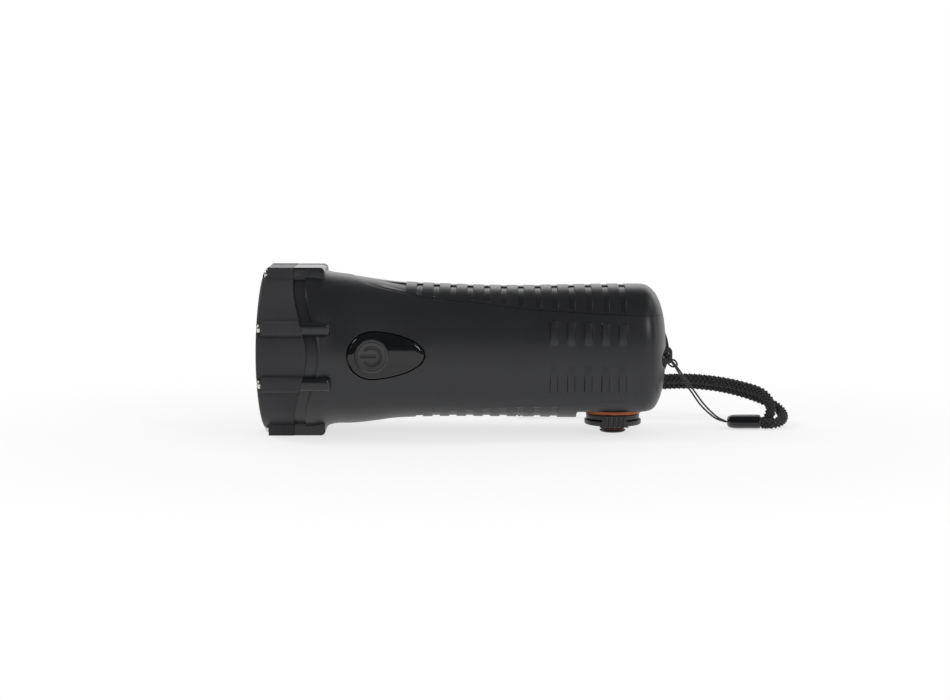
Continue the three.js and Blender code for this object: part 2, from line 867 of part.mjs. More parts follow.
// A ring inside the housing that the board of the LEDs lies against
function boardShelf() {
  const outer = sectionAt(shelfX).side - wall / 2;
  return turnedX(tube(outer, shelfBore, shelfX, shelfX + board.shelf), some);
}

// The ribs' rear parts, with round rear ends
function housingRibs() {
  return ribPlaces.map(({ turn, across, upright }) => {
    const rearX = upright ? ribRearX : sideRibRearX;
    const round = rib.rearRound;
    const end = new THREE.Shape();
    end.moveTo(seamX, axisZ);
    end.lineTo(rearX, axisZ);
    end.lineTo(rearX, axisZ + headReach - round);
    end.quadraticCurveTo(rearX, axisZ + headReach, rearX - round, axisZ + headReach);
    end.lineTo(seamX, axisZ + headReach);
    const profile = alongY(end, -headReach, headReach, 3);
    return aboutAxis(ribBar(across, rib.rearWidth, seamX, rearX).intersect(profile), turn);
  });
}

// Raised bars on both sides near the tail, proud at their ends and running out at mid height
function sideBars() {
  const solids = [];
  for (let i = 0; i < bar.count; i += 1) {
    const x = barFirstX + bar.pitch * i;
    const { side, power, up } = sectionAt(x);
    const faceAt = (height) => side * (1 - (height / up) ** power) ** (1 / power);
    [-1, 1].forEach((near) => {
      [-1, 1].forEach((half) => {
        const outline = new THREE.Shape();
        const [low, high] = [half * bar.low - bar.lower, half * bar.high - bar.lower];
        outline.moveTo(near * faceAt(Math.abs(low)), axisZ + low);
        outline.lineTo(near * (faceAt(Math.abs(high)) + bar.proud), axisZ + high);
        outline.lineTo(near * (faceAt(Math.abs(high)) - wall / 2), axisZ + high);
        outline.lineTo(near * (faceAt(Math.abs(low)) - wall / 2), axisZ + low);
        solids.push(alongX(outline, x - bar.width / 2, x + bar.width / 2));
      });
    });
  }
  return solids;
}

// The switch's outline: half height = middle half height x sqrt(1 - share ^ curve), where the
// share runs from the button's middle to either end
function teardropShape(grow) {
  const half = teardrop.halfHeight + grow;
  const heights = (length, curve) =>
    Array.from({ length: teardrop.steps + 1 }, (_, k) => {
      const share = Math.sin((Math.PI * k) / (2 * teardrop.steps));
      return [buttonX + length * share, half * Math.sqrt(Math.max(0, 1 - share ** curve))];
    });
  const aft = heights(teardrop.aft + grow, teardrop.aftCurve);
  const fore = heights(-teardrop.fore - grow, teardrop.foreCurve).reverse();
  const upper = [...fore, ...aft.slice(1)];
  const lower = upper.slice(1, -1).reverse();
  const points = [...upper.map(([x, h]) => [x, axisZ + h]), ...lower.map(([x, h]) => [x, axisZ - h])];
  return new THREE.Shape(points.reverse().map(([x, z]) => new THREE.Vector2(x, z)));
}

// The piece of a layer of the skin inside the teardrop on the near side
function teardropLayer(grow, outset, inset) {
  const layer = skin(-outset).subtract(skin(inset));
  return layer.intersect(alongY(teardropShape(grow), -headReach - overrun, 0, 8));
}

// Posts on the near wall that carry the circuit board, and ribs that carry the battery
function housingCarriers() {
  const x = [circuitFrontX + circuit.postInset, circuitRearX - circuit.postInset];
  const high = circuit.halfHeight - circuit.postInset;
  const posts = x.flatMap((px) =>
    [-high, high].map((h) => {
      return turnedY(post(circuit.postRadius, -headReach, circuitY - gap), few, px, axisZ + h);
    }),
  );
  const saddles = [batteryFrontX, batteryRearX].map((bx, i) => {
    const fromX = i === 0 ? bx + battery.saddle : bx - 2 * battery.saddle;
    const reach = battery.radius + 2 * battery.saddle;
    const block = box(fromX, fromX + battery.saddle, batteryY - reach, batteryY + reach, 0, batteryZ);
    const cradle = turnedX(post(battery.radius + gap, bx - reach, bx + reach), some, batteryY, batteryZ);
    return block.subtract(cradle);
  });
  return [...posts, ...saddles].map((solid) => solid.intersect(skin(wall / 2)));
}

function eyeletLug() {
  const half = eyelet.thickness / 2;
  const [low, high] = [eyeletZ - eyelet.stretch, eyeletZ + eyelet.stretch];
  const rounds = [low, high].map((z) => turnedY(post(eyelet.radius, -half, half), some, eyeletX, z));
  const middle = box(tailBlockX, eyeletX + eyelet.radius, -half, half, low, high);
  const root = box(tailBlockX, eyeletX, -half, half, low - eyelet.radius, high + eyelet.radius);
  return joined([...rounds, middle, root]);
}

// Scoops on both sides of the lug, which let a cord through its hole
function eyeletScoops() {
  const half = eyelet.thickness / 2;
  const from = half + eyelet.scoopWidth;
  return [-1, 1].map((side) => {
    const profile = side > 0 ? post(eyelet.scoop, half, from) : post(eyelet.scoop, -from, -half);
    return turnedY(profile, some, eyeletX + eyelet.radius, eyeletZ);
  });
}

// Thin ridge up the middle of the tail, above and below the lug
function tailFin() {
  const outline = new THREE.Shape();
  const middle = (finHighZ + finLowZ) / 2;
  const footX = tailPole - fin.foot;
  const peakX = tailPole + 2 * fin.proud + fin.foot; // twice as far out as the curve reaches
  outline.moveTo(footX, finLowZ);
  outline.quadraticCurveTo(peakX, middle, footX, finHighZ);
  outline.lineTo(tailBlockX, finHighZ);
  outline.lineTo(tailBlockX, finLowZ);
  return alongY(outline, -fin.thickness / 2, fin.thickness / 2, 8);
}

function makeHousing() {
  const block = box(
    tailBlockX,
    tailPole,
    -tailBlock.halfWidth,
    tailBlock.halfWidth,
    eyeletZ - tailBlock.halfHeight,
    eyeletZ + tailBlock.halfHeight,
  ).intersect(skin(wall / 2));
  const shell = joined([skin(0), ...housingRibs(), ...sideBars()]).subtract(cavity());
  const sunk = tube(headReach * 2, headRadius - seam.bandDepth, seamX - overrun, sideRibRearX);
  const band = turnedX(sunk, many)
    .intersect(beforeSeam(seam.band))
    .subtract(joined(housingRibs()));
  const open = [
    aboveSeam(-gap),
    belowSeam(-gap),
    beforeSeam(gap),
    band,
    alongY(teardropShape(gap), -headReach - overrun, 0, 8),
    ...screwHoles(seamX - overrun, ribFrontX + screw.length + 2 * overrun, screw.bore),
    turnedY(post(eyelet.bore, -headReach, headReach), few, eyeletX, eyeletZ),
  ];
  const solid = joined([shell, boardShelf(), ...housingCarriers(), block, tailFin()])
    .subtract(joined(eyeletScoops()))
    .add(eyeletLug())
    .subtract(joined(open));
  place("main_housing", solid, black);
}

// A layer just under the skin, kept to what lies beyond a split line and its land
function grooveSkin(depth, region) {
  return skin(-overrun).subtract(skin(depth)).intersect(region);
}

function slab(x, width) {
  return box(x - width / 2, x + width / 2, -headReach, headReach, 0, 2 * headReach);
}

// Evenly spaced grooves from the first place to the last
function grooveRow(firstX, lastX, count, width) {
  const pitch = (lastX - firstX) / (count - 1);
  return Array.from({ length: count }, (_, k) => slab(firstX + pitch * k, width));
}

function makeTopCover() {
  const [firstX, lastX] = [frontX + topGrooves.front, halfLength - topGrooves.tail];
  const grooves = grooveRow(firstX, lastX, topGrooves.count, cover.grooveWidth);
  grooves.push(slab(frontX + topGrooves.wideFront + topGrooves.wideWidth / 2, topGrooves.wideWidth));
  const cut = grooveSkin(cover.grooveDepth, aboveSeam(cover.land)).intersect(joined(grooves));
  const solid = skin(0).subtract(cavity()).intersect(aboveSeam(0)).subtract(cut);
  place("top_cover", solid, black);
}

// The flat sunk field below the tail that the crank turns under
function recessCut() {
  const outline = new THREE.Shape();
  const round = recess.stepRound;
  outline.moveTo(stepX, 0);
  outline.lineTo(stepX, recess.planeZ - round);
  outline.quadraticCurveTo(stepX, recess.planeZ, stepX + round, recess.planeZ);
  outline.lineTo(halfLength + overrun, recess.planeZ);
  outline.lineTo(halfLength + overrun, 0);
  return alongY(outline, -headReach, headReach, 3);
}

function makeUnderCover() {
  const lastX = stepX - underGrooves.beforeStep;
  const grooves = grooveRow(frontX + underGrooves.front, lastX, underGrooves.count, underGrooves.width);
  const cut = grooveSkin(underGrooves.depth, belowSeam(cover.land)).intersect(joined(grooves));
  const floorZ = recess.planeZ + wall;
  const rearFloor = box(stepX - wall, hollowEndX + overrun, -headReach, headReach, 0, floorZ);
  const bosses = [
    turned(post(pin.boss, recess.planeZ, stage1.lowZ - gap), few, ...idler1),
    turned(post(pin.boss, 0, stage2.lowZ - gap), few, ...idler2),
    turned(post(pin.boss, 0, stage3.lowZ - gap), few, ...rotorAt),
    ...pillars.map((at) => turned(post(plate.pillar, 0, plate.lowZ - gap), few, ...at)),
  ].map((solid) => {
    const foot = solid.intersect(skin(wall / 2)).intersect(belowSeam(0));
    return foot.add(solid.intersect(skin(flangeInset)));
  });
  const holes = [
    turned(post(hub.cupRadius + gap, 0, stage1.lowZ), some, ...crankAt),
    ...[idler1, idler2, rotorAt].map((at) => turned(post(pin.bore, pinLowZ - gap, plate.lowZ), few, ...at)),
    ...pillars.map((at) => {
      return turned(post(plateScrew.bore, plate.lowZ - plateScrew.length, plate.lowZ), few, ...at);
    }),
  ];
  const shell = skin(0).subtract(cavity()).add(rearFloor.intersect(skin(wall / 2))).intersect(belowSeam(0));
  const solid = joined([shell, ...bosses])
    .subtract(recessCut())
    .subtract(cut)
    .subtract(joined(holes));
  place("under_cover", solid, black);
}

// Power switch

function makeButtonBezel() {
  const plate = teardropLayer(0, teardrop.proud, flangeInset + teardrop.flangeThick / 2);
  const flange = teardropLayer(teardrop.flange, -flangeInset, flangeInset + teardrop.flangeThick);
  const collarY = nearSide - teardrop.proud - teardrop.proud / 3;
  const collar = turnedY(post(button.collar, collarY, nearSide + wall), some, buttonX, axisZ);
  const hole = turnedY(post(button.radius + button.clearance, -headReach, 0), some, buttonX, axisZ);
  const pocket = turnedY(post(button.flangeRadius + gap, bezelBackY, 0), some, buttonX, axisZ);
  place("button_bezel", plate.add(flange).add(collar).subtract(hole).subtract(pocket), gloss);
}

function makeButton() {
  const face = nearSide - teardrop.proud - button.proud;
  const flangeY = bezelBackY + gap;
  const round = button.radius / 5;
  const profile = [
    [0, face - round / 3],
    [button.radius - 2 * round, face - round / 5],
    [button.radius - round / 3, face + round / 3],
    [button.radius, face + round],
    [button.radius, flangeY],
    [button.flangeRadius, flangeY],
    [button.flangeRadius, buttonBackY],
    [0, buttonBackY],
  ];
  place("power_button", turnedY(profile, some, buttonX, axisZ), rubber);
}

function makeCircuit() {
  const { halfHeight, thickness } = circuit;
  const [low, high] = [axisZ - halfHeight, axisZ + halfHeight];
  const sheet = box(circuitFrontX, circuitRearX, circuitY, circuitY + thickness, low, high);
  place("circuit_board", sheet, laminate);
  const body = box(
    buttonX - tact.half,
    buttonX + tact.half,
    tactY,
    circuitY - gap,
    axisZ - tact.half,
    axisZ + tact.half,
  );
  const actuator = turnedY(post(tact.actuatorRadius, actuatorY, tactY + gap), few, buttonX, axisZ);
  place("power_switch", body.add(actuator), magnet);
}

function makeBattery() {
  const { radius, sleeveRound } = battery;
  const cell = battery.length / battery.cells;
  const profile = [[0, batteryFrontX]];
  for (let k = 0; k < battery.cells; k += 1) {
    const x = batteryFrontX + k * cell;
    profile.push([radius - sleeveRound, x], [radius, x + sleeveRound], [radius, x + cell - sleeveRound]);
  }
  profile.push([radius - sleeveRound, batteryRearX], [0, batteryRearX]);
  place("battery_pack", turnedX(profile, some, batteryY, batteryZ), sleeve);
}

// Gears

// A gear's outline with involute flanks, one tooth centred on the given turn
function gearShape(module, teeth, turn) {
  const pitch = (module * teeth) / 2;
  const base = pitch * Math.cos(rad(tooth.pressure));
  const tip = pitch + tooth.addendum * module;
  const root = pitch - tooth.dedendum * module;
  const roll = (radius) => {
    const angle = Math.sqrt(Math.max((radius / base) ** 2 - 1, 0));
    return angle - Math.atan(angle);
  };
  const half = Math.PI / (2 * teeth) - tooth.backlash / (2 * pitch) + roll(pitch);
  const start = Math.max(base, root);
  const steps = start - root > module / 4 ? [root, start, tip] : [root, tip];
  const flank = steps.map((radius) => [radius, half - roll(radius)]);
  const points = [];
  for (let k = 0; k < teeth; k += 1) {
    const middle = turn + (2 * Math.PI * k) / teeth;
    flank.forEach(([radius, angle]) => points.push([radius, middle - angle]));
    [...flank].reverse().forEach(([radius, angle]) => points.push([radius, middle + angle]));
  }
  return new THREE.Shape(points.map(([r, a]) => new THREE.Vector2(r * Math.cos(a), r * Math.sin(a))));
}

function gearSolid(module, teeth, turn, lowZ, highZ, [x, y]) {
  const geometry = extruded(gearShape(module, teeth, turn), highZ - lowZ, 1);
  geometry.translate(x, y, lowZ);
  return solidOf(geometry);
}

// The wheel of a stage has a tooth towards the pinion, and the pinion a space towards the wheel
function wheelOf(stage, at) {
  return gearSolid(stage.module, stage.wheel, rad(stage.angle), stage.lowZ, stage.lowZ + stage.face, at);
}

function pinionOf(stage, highZ, at) {
  const turn = rad(stage.angle) + Math.PI + Math.PI / stage.pinion;
  return gearSolid(stage.module, stage.pinion, turn, stage.lowZ, highZ, at);
}

function makeGears() {
  const bore = (at) => turned(post(pin.bore, 0, plateHighZ), few, ...at);
  const hex = turned(post(hub.hexRadius + 2 * gap, 0, plateHighZ), hexSides, ...crankAt);
  place("crank_gear", wheelOf(stage1, crankAt).subtract(hex), nylon);
  const first = pinionOf(stage1, stage2.lowZ, idler1).add(wheelOf(stage2, idler1));
  place("idler_gear_1", first.subtract(bore(idler1)), nylon);
  const second = pinionOf(stage2, stage3.lowZ, idler2).add(wheelOf(stage3, idler2));
  place("idler_gear_2", second.subtract(bore(idler2)), nylon);
  [idler1, idler2].forEach((at, i) => {
    place(`idler_pin_${i + 1}`, turned(post(pin.radius, pinLowZ, plateHighZ), few, ...at), steel);
  });
}

function makeGearPlate() {
  const { margin } = plate;
  const [rear, far, near, front] = pillars;
  const outline = new THREE.Shape();
  outline.moveTo(near[0] - margin, near[1] - margin);
  outline.lineTo(rear[0] + margin, rear[1] - margin);
  outline.lineTo(crankX + margin, crankY - margin);
  outline.quadraticCurveTo(crankX + 2 * margin, crankY, crankX + margin, crankY + margin);
  outline.lineTo(far[0] + 2 * margin, far[1] + margin);
  outline.lineTo(far[0] - margin, far[1] + margin);
  outline.lineTo(front[0] - margin, front[1] + margin);
  const holes = [
    turned(post(hub.shaftRadius + gap, 0, 2 * plateHighZ), some, ...crankAt),
    ...[idler1, idler2, rotorAt].map((at) => turned(post(pin.bore, 0, 2 * plateHighZ), few, ...at)),
    ...pillars.map((at) => turned(post(plateScrew.bore, 0, 2 * plateHighZ), few, ...at)),
  ];
  place("gear_plate", alongZ(outline, plate.lowZ, plateHighZ, 4).subtract(joined(holes)), steel);
  const seat = plateHighZ + gap;
  pillars.forEach((at, i) => {
    const profile = [
      [0, seat - plateScrew.length],
      [plateScrew.shankRadius, seat - plateScrew.length],
      [plateScrew.shankRadius, seat],
      [plateScrew.headRadius, seat],
      [plateScrew.headRadius, seat + plateScrew.headHeight],
      [0, seat + plateScrew.headHeight],
    ];
    place(`gear_plate_screw_${i + 1}`, turned(profile, least, ...at), steel);
  });
}

function makeGenerator() {
  const { radius, height, coilOuter, coilInner, coilHeight, rotorRadius, rotorHeight, capThick } = generator;
  const low = plateHighZ + gap;
  const inside = low + generator.wall;
  const canProfile = [
    [pin.bore, low],
    [radius, low],
    [radius, low + height],
    [radius - generator.wall, low + height],
    [radius - generator.wall, inside],
    [pin.bore, inside],
    [pin.bore, low],
  ];
  place("generator_can", turned(canProfile, some, ...rotorAt), steel);
  const coil = tube(coilOuter, coilInner, inside + gap, inside + gap + coilHeight);
  place("stator_coil", turned(coil, some, ...rotorAt), copper);
  const rotorLow = inside + gap + (coilHeight - rotorHeight) / 2;
  const magnetRing = tube(rotorRadius, pin.bore, rotorLow, rotorLow + rotorHeight);
  place("magnet_rotor", turned(magnetRing, some, ...rotorAt), magnet);
  const capLow = low + height + gap;
  place("generator_cap", turned(tube(radius, pin.bore, capLow, capLow + capThick), some, ...rotorAt), steel);
  const shaft = turned(post(pin.radius, pinLowZ, capLow + capThick), few, ...rotorAt);
  const pinion = pinionOf(stage3, stage3.lowZ + stage3.face, rotorAt);
  place("rotor_shaft", shaft.add(pinion), steel);
}

// Crank

function makeHub() {
  const earLow = hub.flangeHighZ;
  const shaftTop = plateHighZ + gap;
  const profile = [
    [0, hub.ceilingZ],
    [hub.cupBore, hub.ceilingZ],
    [hub.cupBore, hub.flangeLowZ],
    [hub.flangeRadius, hub.flangeLowZ],
    [hub.flangeRadius, earLow],
    [hub.cupRadius, earLow],
    [hub.cupRadius, hub.topZ],
    [hub.shaftRadius, hub.topZ],
    [hub.shaftRadius, shaftTop],
    [0, shaftTop],
  ];
  const hexTopZ = stage1.lowZ + stage1.face - gap;
  const hex = turned(post(hub.hexRadius, hub.ceilingZ, hexTopZ), hexSides, ...crankAt);
  const pinY = crankY + hinge.reach;
  const ear = new THREE.Shape();
  ear.moveTo(pinY - hinge.radius, hinge.z);
  ear.absarc(pinY, hinge.z, hinge.radius, Math.PI, 2 * Math.PI, false);
  ear.lineTo(pinY + hinge.radius, hub.flangeHighZ - hinge.radius / 2);
  ear.lineTo(pinY + hinge.radius / 2, hub.flangeHighZ);
  ear.lineTo(crankY + hub.cupBore, hub.flangeHighZ);
  ear.lineTo(crankY + hub.cupBore, hub.flangeLowZ);
  ear.lineTo(pinY - hinge.radius, hub.flangeLowZ);
  const inner = hinge.knuckle / 2 + gap;
  const ears = [
    alongX(ear, crankX - inner - hinge.ear, crankX - inner, 6),
    alongX(ear, crankX + inner, crankX + inner + hinge.ear, 6),
  ];
  const pinHole = circle(pinY, hinge.z, hinge.pinRadius + gap);
  const hole = alongX(pinHole, crankX - headReach, crankX + headReach, 5);
  const cup = turned(post(hub.cupBore, 0, hub.ceilingZ), some, ...crankAt);
  const solid = joined([turned(profile, some, ...crankAt), hex, ...ears]).subtract(hole).subtract(cup);
  place("crank_hub", solid, black);
  const end = inner + hinge.ear - gap;
  const pinSolid = alongX(circle(pinY, hinge.z, hinge.pinRadius), crankX - end, crankX + end, 5);
  place("hinge_pin", pinSolid, steel);
}

function circle(x, y, radius) {
  const shape = new THREE.Shape();
  shape.absarc(x, y, radius, 0, 2 * Math.PI, false);
  return shape;
}

function makeBearingRing() {
  const highZ = recess.planeZ - gap;
  place("bearing_ring", turned(tube(ring.radius, ring.bore, ring.lowZ, highZ), many, ...crankAt), orange);
}

function makeArm() {
  const { radius, lowZ, highZ, round } = arm;
  const discProfile = [
    [0, lowZ],
    [radius - round, lowZ],
    [radius - round / 3, lowZ + round / 3],
    [radius, lowZ + round],
    [radius, highZ - round / 3],
    [radius - round / 3, highZ],
    [0, highZ],
  ];
  const pinY = crankY + hinge.reach;
  const flatY = pinY - hinge.flat;
  const flat = box(crankX - radius, crankX + radius, flatY, pinY + radius, 0, headReach);
  const half = hinge.knuckle / 2;
  const knuckle = alongX(circle(pinY, hinge.z, hinge.radius), crankX - half, crankX + half, 8);
  const bridge = box(crankX - half, crankX + half, flatY - round, pinY, lowZ, hinge.z + hinge.radius);
  const tabY = crankY - hub.flangeRadius - gap;
  const halfTab = arm.tabWidth / 2;
  const tabs = [
    box(crankX - halfTab, crankX + halfTab, tabY - arm.tabThick, tabY, lowZ, arm.tabHighZ),
    box(crankX - halfTab, crankX + halfTab, tabY - round, tabY + arm.tabThick, lowZ, highZ),
  ];
  for (let k = 0; k < arm.tabRibs; k += 1) {
    const x = crankX - halfTab + (arm.tabWidth * (k + 1 / 2)) / arm.tabRibs;
    tabs.push(turned(post(arm.tabRibRadius, lowZ, arm.tabHighZ), 8, x, tabY - arm.tabThick));
  }
  const holes = [
    alongX(circle(pinY, hinge.z, hinge.pinRadius + gap), crankX - radius, crankX + radius, 5),
    turned(post(knob.bore, 0, headReach), some, ...crankAt),
  ];
  const solid = joined([turned(discProfile, many, ...crankAt).subtract(flat), knuckle, bridge, ...tabs]);
  place("fold_arm", solid.subtract(joined(holes)), black);
}

function makeKnob() {
  const outline = new THREE.Shape();
  const steps = knob.flutes * 3;
  for (let k = 0; k < steps; k += 1) {
    const angle = (2 * Math.PI * k) / steps;
    const radius = knob.radius - (knob.flute / 2) * (1 + Math.cos(knob.flutes * angle));
    const at = [crankX + radius * Math.cos(angle), crankY + radius * Math.sin(angle)];
    if (k === 0) outline.moveTo(...at);
    else outline.lineTo(...at);
  }
  const seat = knob.highZ - knob.headDepth;
  const edge = knob.flute;
  const envelope = [
    [0, knob.lowZ],
    [knob.radius - edge, knob.lowZ],
    [knob.radius, knob.lowZ + edge],
    [knob.radius, knob.highZ - 2 * edge],
    [knob.radius - 2 * edge, knob.highZ],
    [0, knob.highZ],
  ];
  const hollow = [
    [0, 0],
    [knob.bore, 0],
    [knob.bore, seat],
    [knob.headBore, seat],
    [knob.headBore, headReach],
    [0, headReach],
  ];
  const solid = alongZ(outline, knob.lowZ, knob.highZ)
    .intersect(turned(envelope, steps, ...crankAt))
    .subtract(turned(hollow, some, ...crankAt));
  place("crank_knob", solid, black);
  const headLow = seat + gap;
  const axleProfile = [
    [0, cap.floor + gap],
    [axle.radius, cap.floor + gap],
    [axle.radius, headLow],
    [axle.headRadius, headLow],
    [axle.headRadius, headLow + axle.headHeight],
    [0, headLow + axle.headHeight],
  ];
  place("knob_axle", turned(axleProfile, some, ...crankAt), steel);
}

function makeCap() {
  const { radius, round, ringLowZ, ringHighZ, ringDepth, highZ } = cap;
  const groove = radius - ringDepth - gap;
  const profile = [
    [0, 0],
    [radius - 2 * round, 0],
    [radius - round / 2, round / 3],
    [radius, ringLowZ - gap],
    [groove, ringLowZ - gap],
    [groove, ringHighZ + gap],
    [radius, ringHighZ + gap],
    [radius, highZ],
    [knob.bore, highZ],
    [knob.bore, cap.floor],
    [0, cap.floor],
  ];
  place("knob_cap", turned(profile, some, ...crankAt), gloss);
  const ringProfile = tube(radius, radius - ringDepth, ringLowZ, ringHighZ);
  place("cap_ring", turned(ringProfile, some, ...crankAt), orange);
}

// Lanyard

function cordTube({ diameter, sides, steps }, points) {
  const route = points.map((p) => new THREE.Vector3(...p));
  const curve = new THREE.CatmullRomCurve3(route, false, "centripetal");
  const section = new THREE.Shape();
  for (let k = 0; k < sides; k += 1) {
    const angle = (2 * Math.PI * k) / sides;
    const at = [(diameter / 2) * Math.cos(angle), (diameter / 2) * Math.sin(angle)];
    if (k === 0) section.moveTo(...at);
    else section.lineTo(...at);
  }
  return solidOf(new THREE.ExtrudeGeometry(section, { steps, extrudePath: curve, bevelEnabled: false }));
}

// An oval crimp that tapers to the thin cord's end
function makeFerrule() {
  const rowShares = [
    [0, (3 * ferrule.noseShare) / 4],
    [0.06, ferrule.noseShare],
    [0.5, 0.8],
    [0.75, 1],
    [0.97, 1],
    [1, 0.94],
  ];
  const rings = rowShares.map(([along, share]) => {
    const points = [];
    for (let k = 0; k < some; k += 1) {
      const angle = (2 * Math.PI * k) / some;
      const x = eyeletX + ferrule.nose + ferrule.length * along;
      const y = ferrule.y + ferrule.halfWidth * share * Math.cos(angle);
      const z = ferrule.z + ferrule.halfHeight * Math.sqrt(share) * Math.sin(angle);
      points.push(new THREE.Vector3(x, y, z));
    }
    return points;
  });
  place("lanyard_ferrule", loft(rings, null), gloss);
}

function makeLanyard() {
  const cordPoints = cordRoute.map(([x, y, share]) => [eyeletX + x, y, share * eyeletZ]);
  const strapPoints = strapRoute.map(([x, y, z]) => [eyeletX + x, y, z]);
  place("lanyard_cord", cordTube(cord, cordPoints), webbing);
  place("wrist_strap", cordTube(strap, strapPoints), webbing);
  makeFerrule();
}

makeBezel();
makeBezelScrews();
makeLensAndGasket();
makeReflector();
makeLeds();
makeLedBoard();
makeHousing();
makeTopCover();
makeUnderCover();
makeButtonBezel();
makeButton();
makeCircuit();
makeBattery();
makeGears();
makeGearPlate();
makeGenerator();
makeHub();
makeBearingRing();
makeArm();
makeKnob();
makeCap();
makeLanyard();

export default torch;
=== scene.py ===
import math

import bmesh
import bpy
import numpy as np
from mathutils import Matrix, Vector


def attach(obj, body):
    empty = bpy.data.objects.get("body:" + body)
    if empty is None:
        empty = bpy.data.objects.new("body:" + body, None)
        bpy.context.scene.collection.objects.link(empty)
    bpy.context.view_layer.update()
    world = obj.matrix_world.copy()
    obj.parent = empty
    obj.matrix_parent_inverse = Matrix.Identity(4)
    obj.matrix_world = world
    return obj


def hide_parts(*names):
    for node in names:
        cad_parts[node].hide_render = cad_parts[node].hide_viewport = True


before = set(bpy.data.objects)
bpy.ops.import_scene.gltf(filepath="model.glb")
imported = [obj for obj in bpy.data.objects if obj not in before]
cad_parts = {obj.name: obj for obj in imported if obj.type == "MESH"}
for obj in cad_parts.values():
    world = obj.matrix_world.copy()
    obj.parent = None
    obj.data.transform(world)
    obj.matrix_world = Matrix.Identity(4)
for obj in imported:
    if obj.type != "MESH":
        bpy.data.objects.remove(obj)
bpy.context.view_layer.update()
mm = 0.001

# Driving sizes of the torch in millimetres, as the CAD has them
torch = {
    "halfLength": 87.8, "headRadius": 34.4, "headReach": 35.7, "axisZ": 35.7, "wall": 2.2, "gap": 0.3,
    "domeX": 72.8, "poleX": 84.5, "domePower": 2.5, "crankX": 62.4,
}
halfLength, headRadius, headReach = torch["halfLength"], torch["headRadius"], torch["headReach"]
axisZ, wall, gap, crankX = torch["axisZ"], torch["wall"], torch["gap"], torch["crankX"]
headAxis, crankAxis = (0, 0, axisZ), (crankX, 0, 0)

# Camera at the photograph's viewing angle
shot = {"target": (3.2, 0.0, 35.15), "distance": 989.0, "elevation": 6.0, "roll": 0.08, "frameWidth": 407.3,
        "sensor": 36.0}


def makeCamera():
    data = bpy.data.cameras.new("shotCamera")
    data.sensor_width = shot["sensor"]
    data.sensor_fit = "HORIZONTAL"
    data.lens = shot["sensor"] * shot["distance"] / shot["frameWidth"]
    data.clip_start, data.clip_end = 0.02, 60.0
    camera = bpy.data.objects.new("shotCamera", data)
    rise = math.radians(shot["elevation"])
    away = Vector((0.0, -math.cos(rise), math.sin(rise)))
    camera.location = (Vector(shot["target"]) + away * shot["distance"]) * mm
    turn = (-away).to_track_quat("-Z", "Y").to_matrix() @ Matrix.Rotation(math.radians(shot["roll"]), 3, "Z")
    camera.rotation_euler = turn.to_euler()
    bpy.context.scene.collection.objects.link(camera)
    bpy.context.scene.camera = camera


makeCamera()
print("camera set")


# Mesh making: points in millimetres, faces as whole arrays of corner numbers


def meshPiece(name, points, quads, triangles=()):
    points = np.asarray(points, float).reshape(-1, 3) * mm
    quads, triangles = np.asarray(quads, int).reshape(-1, 4), np.asarray(triangles, int).reshape(-1, 3)
    corners = np.concatenate([quads.ravel(), triangles.ravel()])
    sizes = np.repeat([4, 3], [len(quads), len(triangles)])
    mesh = bpy.data.meshes.new(name)
    mesh.vertices.add(len(points))
    mesh.vertices.foreach_set("co", points.ravel())
    mesh.loops.add(len(corners))
    mesh.loops.foreach_set("vertex_index", corners)
    mesh.polygons.add(len(sizes))
    mesh.polygons.foreach_set("loop_start", np.concatenate([[0], np.cumsum(sizes)[:-1]]))
    mesh.update(calc_edges=True)
    mesh.validate()
    piece = bpy.data.objects.new(name, mesh)
    bpy.context.scene.collection.objects.link(piece)
    return piece


# Corner numbers of a grid's quads; each row closes on itself, and the last may close on the first
def gridQuads(rows, columns, closeRows=False):
    r, c = np.arange(rows if closeRows else rows - 1)[:, None], np.arange(columns)
    below, beside = (r + 1) % rows, (c + 1) % columns
    corners = [r * columns + c, r * columns + beside, below * columns + beside, below * columns + c]
    return np.stack(corners, axis=-1).reshape(-1, 4)


# Corner numbers of a tube whose ends close on two further points
def tubeFaces(rows, columns):
    c = np.arange(columns)
    n, last, tip = (c + 1) % columns, (rows - 1) * columns, np.full(columns, rows * columns)
    ends = np.concatenate([np.stack([tip, n, c], axis=-1), np.stack([tip + 1, last + c, last + n], axis=-1)])
    return gridQuads(rows, columns), ends


# A closed body from rings of points, each ring a row; the ends close on their middles
def tubeSolid(name, rings):
    points = np.concatenate([rings.reshape(-1, 3), [rings[0].mean(axis=0)], [rings[-1].mean(axis=0)]])
    return tidy(meshPiece(name, points, *tubeFaces(*rings.shape[:2])))


# A closed body from rings that close on themselves both ways
def ringSolid(name, rings):
    return tidy(meshPiece(name, rings, gridQuads(*rings.shape[:2], closeRows=True)))


# A closed strip whose corners run along lines of points
def strip(name, *corners):
    return tubeSolid(name, np.stack(corners, axis=1))


# A piece's sizes by their names
def sizesOf(piece, names):
    return (piece[name] for name in names.split())


# Points of a rounded corner about a middle; reach and rise are the ways its first and last
# points lie from it
def rounded(a, b, run, reach, rise, count=8):
    c, s = run * np.cos(quarter(count)), run * np.sin(quarter(count))
    return list(zip(a + reach * c, b + rise * s))


# Points along a line from their coordinates, any of which may be one number for all
def pointsAt(x, y, z):
    return np.stack(np.broadcast_arrays(x, y, z), axis=-1).astype(float)


# Turns every face outwards, after merging doubles unless the corners have to stay
def tidy(piece, merge=True):
    work = bmesh.new()
    work.from_mesh(piece.data)
    if merge:
        bmesh.ops.remove_doubles(work, verts=work.verts, dist=2e-6)
        bmesh.ops.dissolve_degenerate(work, edges=work.edges, dist=1e-6)
    bmesh.ops.recalc_face_normals(work, faces=work.faces)
    work.to_mesh(piece.data)
    work.free()
    return piece


